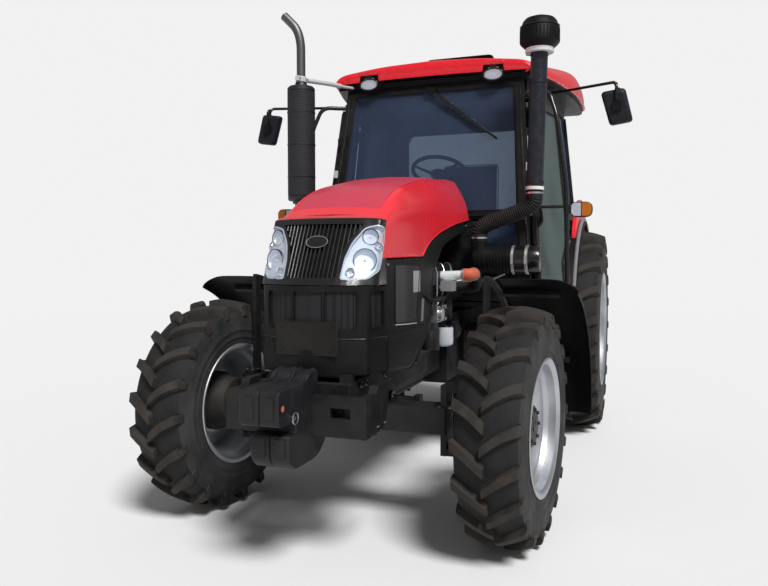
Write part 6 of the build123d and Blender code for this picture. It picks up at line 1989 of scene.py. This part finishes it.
# ---------------------------------------------------------------- mirrors, rails, lamps, tanks and hitch
class TRACTOR_OT_outriggers(bpy.types.Operator):
    """Mirrors, grab rails and turn lamps"""

    bl_idname = "tractor.outriggers"
    bl_label = "Mirrors, rails and lamps"

    def execute(self, context):
        shape = Shape()
        corners = [(p.x, p.z) for p in softened([(1120, 0, 2403), (1267, 0, 2423), (1318, 0, 2213),
                                                 (1179, 0, 2193)], 26, 5, closed=True)]

        def case(a, b, h):
            return Vector((a, 1303 + h, b))

        shape.skin(raised(case, corners, (-34, 0), (-14, 3), (-3, 13), (0, 29), (0, 51), (-3, 55), (-7, 54),
                          (-8, 47)), "mirror_shell", caps=False)
        fill_opening(shape, case, corners, "mirror_shell", 0, grow=-34, rings=2)
        fill_opening(shape, case, corners, "mirror_face", 47, grow=-8, rings=2)
        arm = [cab_side(1845, 2530, -4), (760, 1840, 2536), (837, 1822, 2537), (1211, 1330, 2461),
               (1226, 1330, 2370)]
        shape.tube(arm, 10, "black_gloss", 12, 34)
        shape.lathe([(10, -20), (16, -18), (16, 18), (10, 20)], (1223, 1330, 2404), (-0.16, 0, 1),
                    "black_gloss", 16)
        shape.block((690, 716), (1812, 1878), (2506, 2548), "black_gloss")
        shape.tube([(1214, 1330, 2452), (1216, 1298, 2440), (1219, 1288, 2340)], 9, "black_gloss", 12, 20)
        shape.block((1196, 1246), (1284, 1304), (2280, 2336), "black_moulding")
        shape.both_sides()
        shape.place("wing_mirrors", "chassis", "moulded_black", ["mirrors"], sharp=40)

        rails = Shape()
        rails.tube([(641.9, 1420, 2440), (800, 1345, 2443), (858, 1300, 2270), (925, 1250, 1820),
                    (949, 1158, 1180), (930, 1150, 1100), (734.6, 1176, 1098)], 14, "black_gloss", 14, 60, 7)
        for spot in ((646, 1418, 2440), (738, 1176, 1098)):
            rails.lathe([(13, -3), (27, -3), (27, 4), (15, 6)], spot, (1, -0.4 if spot[2] > 2000 else 0, 0),
                        "black_gloss", 20)
        rails.block((931, 955.7), (1212, 1244), (1640, 1700), "black_gloss")
        rails.tube([(716, 1236, 1690), (820, 1236, 1690), (918, 1240, 1690)], 10, "black_gloss", 10)
        rails.both_sides()
        rails.place("hand_rails", "chassis", "frame_black", ["grab_rails"], sharp=40)

        lamps = Shape()

        def front(a, b, h=0.0):
            return Vector((a, 1199 - h, b))

        box = flat_curve([(956, 1621), (1090, 1621), (1090, 1715), (956, 1715)], 42, 6)
        lamps.skin(raised(front, box, (-4, -3), (0, -7), (0, -41), (-5, -47)), "black_moulding")
        for a0, a1, look in ((962, 1021, "lamp_fluted"), (1025, 1085, "lamp_amber")):
            soft = [34, 34, 6, 6] if look == "lamp_fluted" else [6, 6, 34, 34]
            face = flat_curve([(a0, 1709), (a0, 1627), (a1, 1627), (a1, 1709)], soft, 6)
            lamps.skin(raised(front, face, (0, -4), (0, 0), (-3, 2)), look, caps=False)
            fill_opening(lamps, front, face, look, 2, grow=-3, rings=3)
            if look == "lamp_fluted":
                # the reflector behind the fluted lens carries painted reflection
                fill_opening(lamps, front, face, "lamp_bowl", -2.4, grow=-1, rings=2)
        lamps.both_sides()
        lamps.place("turn_lamps", "chassis", "lamp_plastic", ["lamps"], sharp=40)
        return {"FINISHED"}


class TRACTOR_OT_underparts(bpy.types.Operator):
    """Tanks, steps, rear axle, hitch and drawbar"""

    bl_idname = "tractor.underparts"
    bl_label = "Tanks, steps and hitch"

    def execute(self, context):
        dress("tank_black", "fuel_tanks", edge=24)
        dress("tread_plate", "steps", edge=2)
        dress("cast_paint", "rear_axle_housing", edge=8)
        dress("hitch_steel", "drawbar", "lift_arms", "lift_rods", "lower_links", edge=3)
        shape = Shape()
        for z in (440, 640, 840):
            for d in range(1440, 1681, 30):
                shape.block((712, 838), (d, d + 9), (z + 12, z + 17), "tread_plate")
        shape.bolts([(757, d, z) for d in (1440, 1680) for z in (500, 700, 900, 1020)], ACROSS, 13)
        for d in (1380, 1660):
            shape.tube([(428, d, 930), (560, d, 934), (692, d, 930), (694, d, 730),
                        (692, d, 540), (428, d, 536)], 7, "bolt_black", 8, 40)
        shape.rod((600, 1330, 928), (600, 1330, 966), 42, "black_gloss", 28)
        for x, radius in ((332, 138), (244, 180.32)):
            shape.bolts(bolt_circle(REAR_HUB, x, radius, 12, 0), ACROSS, 20)
        shape.bolts([turn_about(REAR_HUB, 90, pi - a, 480) for a in (0.8, 2.4, 3.9, 5.5)], ACROSS, 16)
        shape.tube([(200, 2840, 900), (230, 2880, 960), (210, 2858, 1020)], 9, "hose_rubber", 10)
        for x, cap in ((90, "black_gloss"), (150, "hose_red")):
            shape.rod((x, 2858, 990), (x, 2884, 990), 19, "zinc", 18)
            shape.rod((x, 2884, 990), (x, 2894, 990), 22, cap, 18)
        shape.both_sides()
        for k in range(6):
            turn = tau * k / 6
            shape.beam((16.5 * cos(turn), 2874, 620 + 16.5 * sin(turn)),
                       (16.5 * cos(turn), 2954, 620 + 16.5 * sin(turn)), 5, 4, "bright_steel",
                       up=(cos(turn), 0, sin(turn)))
        shape.skin([[(x, d, z) for x, z in ((-90, 690), (-84, 706), (84, 706), (90, 690), (90, 560),
                                            (84, 558), (80, 686), (-80, 686), (-84, 558), (-90, 560))]
                    for d in (2862, 2940)], "cast_paint")
        shape.bolts([(x, 2862, z) for x in (-200, 200) for z in (520, 640, 760, 880, 1000)], AFT, 20)
        shape.place("under_fittings", "chassis", "frame_black", edge=1.5)
        return {"FINISHED"}


# ---------------------------------------------------------------- stage
def stage_floor(scene):
    """One wide floor whose far parts melt into the backdrop."""
    pale = picked("floor")
    mesh = bpy.data.meshes.new("floor")
    reach = 60
    mesh.from_pydata([(-reach, -reach, -0.001), (reach, -reach, -0.001), (reach, reach, -0.001),
                      (-reach, reach, -0.001)], [], [(0, 1, 2, 3)])
    piece = bpy.data.objects.new("floor", mesh)
    scene.collection.objects.link(piece)
    look = Look("floor_pale", Base_Color=pale, Roughness=0.9, Specular_IOR_Level=0.0)
    away = look.node("VectorMath", {"operation": "LENGTH"}, 1, i0=look.where())
    far = look.ramp(away / 40, (0.10, 0.0), (0.45, 1.0))
    glow = look.node("Emission", Color=(*shade(pale, 1.006), 1), Strength=1.0)
    look.surface(None, glow, far)
    mesh.materials.append(look.material)


def surroundings(scene):
    """World light: grey all round, paler where it is seen directly."""
    world = bpy.data.worlds.new("surroundings")
    scene.world = world
    world.use_nodes = True
    nodes = Nodes(world.node_tree)
    camera, gloss, through = (nodes.node("LightPath", output=f"Is {ray} Ray")
                              for ray in ("Camera", "Glossy", "Transmission"))
    plain = (camera + gloss * 0.12 + through).math("MINIMUM", 1.0)
    back = nodes.tree.nodes["Background"]
    back.inputs["Color"].default_value = (1, 1, 1, 1)
    feed(nodes.tree, back.inputs["Strength"], plain * 0.68 + 0.20)


class TRACTOR_OT_stage(bpy.types.Operator):
    """Pale floor and backdrop, one soft sun and the camera"""

    bl_idname = "tractor.stage"
    bl_label = "Stage"

    def execute(self, context):
        scene = context.scene
        scene.view_settings.view_transform = "Standard"
        stage_floor(scene)
        surroundings(scene)
        data = bpy.data.lights.new("sun", "SUN")
        data.energy = 3.25
        data.angle = 0.30
        lamp = bpy.data.objects.new("sun", data)
        lamp.rotation_euler = (0.68, 0.10, 0.62)
        scene.collection.objects.link(lamp)
        data = bpy.data.cameras.new("view")
        data.lens = scene.tractor_sizes.camera_lens
        data.sensor_width = 36
        camera = bpy.data.objects.new("view", data)
        camera.location, camera.rotation_euler = CAMERA_AT, CAMERA_TURN
        scene.collection.objects.link(camera)
        scene.camera = camera
        return {"FINISHED"}


# ---------------------------------------------------------------- panel and registration
STEPS = (TRACTOR_OT_tyres, TRACTOR_OT_rims, TRACTOR_OT_front_axle, TRACTOR_OT_front_fenders, TRACTOR_OT_hood,
         TRACTOR_OT_nose, TRACTOR_OT_grille, TRACTOR_OT_side_panels, TRACTOR_OT_weights, TRACTOR_OT_engine,
         TRACTOR_OT_cab, TRACTOR_OT_roof, TRACTOR_OT_rear_fenders, TRACTOR_OT_interior, TRACTOR_OT_exhaust,
         TRACTOR_OT_intake, TRACTOR_OT_outriggers, TRACTOR_OT_underparts, TRACTOR_OT_stage)


class TRACTOR_PT_build(bpy.types.Panel):
    """Lists the settings and the steps that build the tractor"""

    bl_idname = "TRACTOR_PT_build"
    bl_label = "Farm tractor"
    bl_space_type = "VIEW_3D"
    bl_region_type = "UI"
    bl_category = "Tractor"

    def draw(self, context):
        column = self.layout.column(align=True)
        for group in (context.scene.tractor_sizes, context.scene.tractor_colours):
            for name in group.__annotations__:
                column.prop(group, name)
        for step in STEPS:
            column.operator(step.bl_idname)


CLASSES = (TractorSizes, TractorColours, *STEPS, TRACTOR_PT_build)


def register():
    """Make the settings, operators and panel known."""
    for item in CLASSES:
        bpy.utils.register_class(item)
    bpy.types.Scene.tractor_sizes = PointerProperty(type=TractorSizes)
    bpy.types.Scene.tractor_colours = PointerProperty(type=TractorColours)


def unregister():
    """Take them away again."""
    del bpy.types.Scene.tractor_colours
    del bpy.types.Scene.tractor_sizes
    for item in reversed(CLASSES):
        bpy.utils.unregister_class(item)


def main():
    """Build every piece."""
    register()
    for step in STEPS:
        group, name = step.bl_idname.split(".")
        if getattr(getattr(bpy.ops, group), name)() != {"FINISHED"}:
            raise RuntimeError(f"{step.bl_idname} did not finish")


if __name__ == "__main__":
    main()
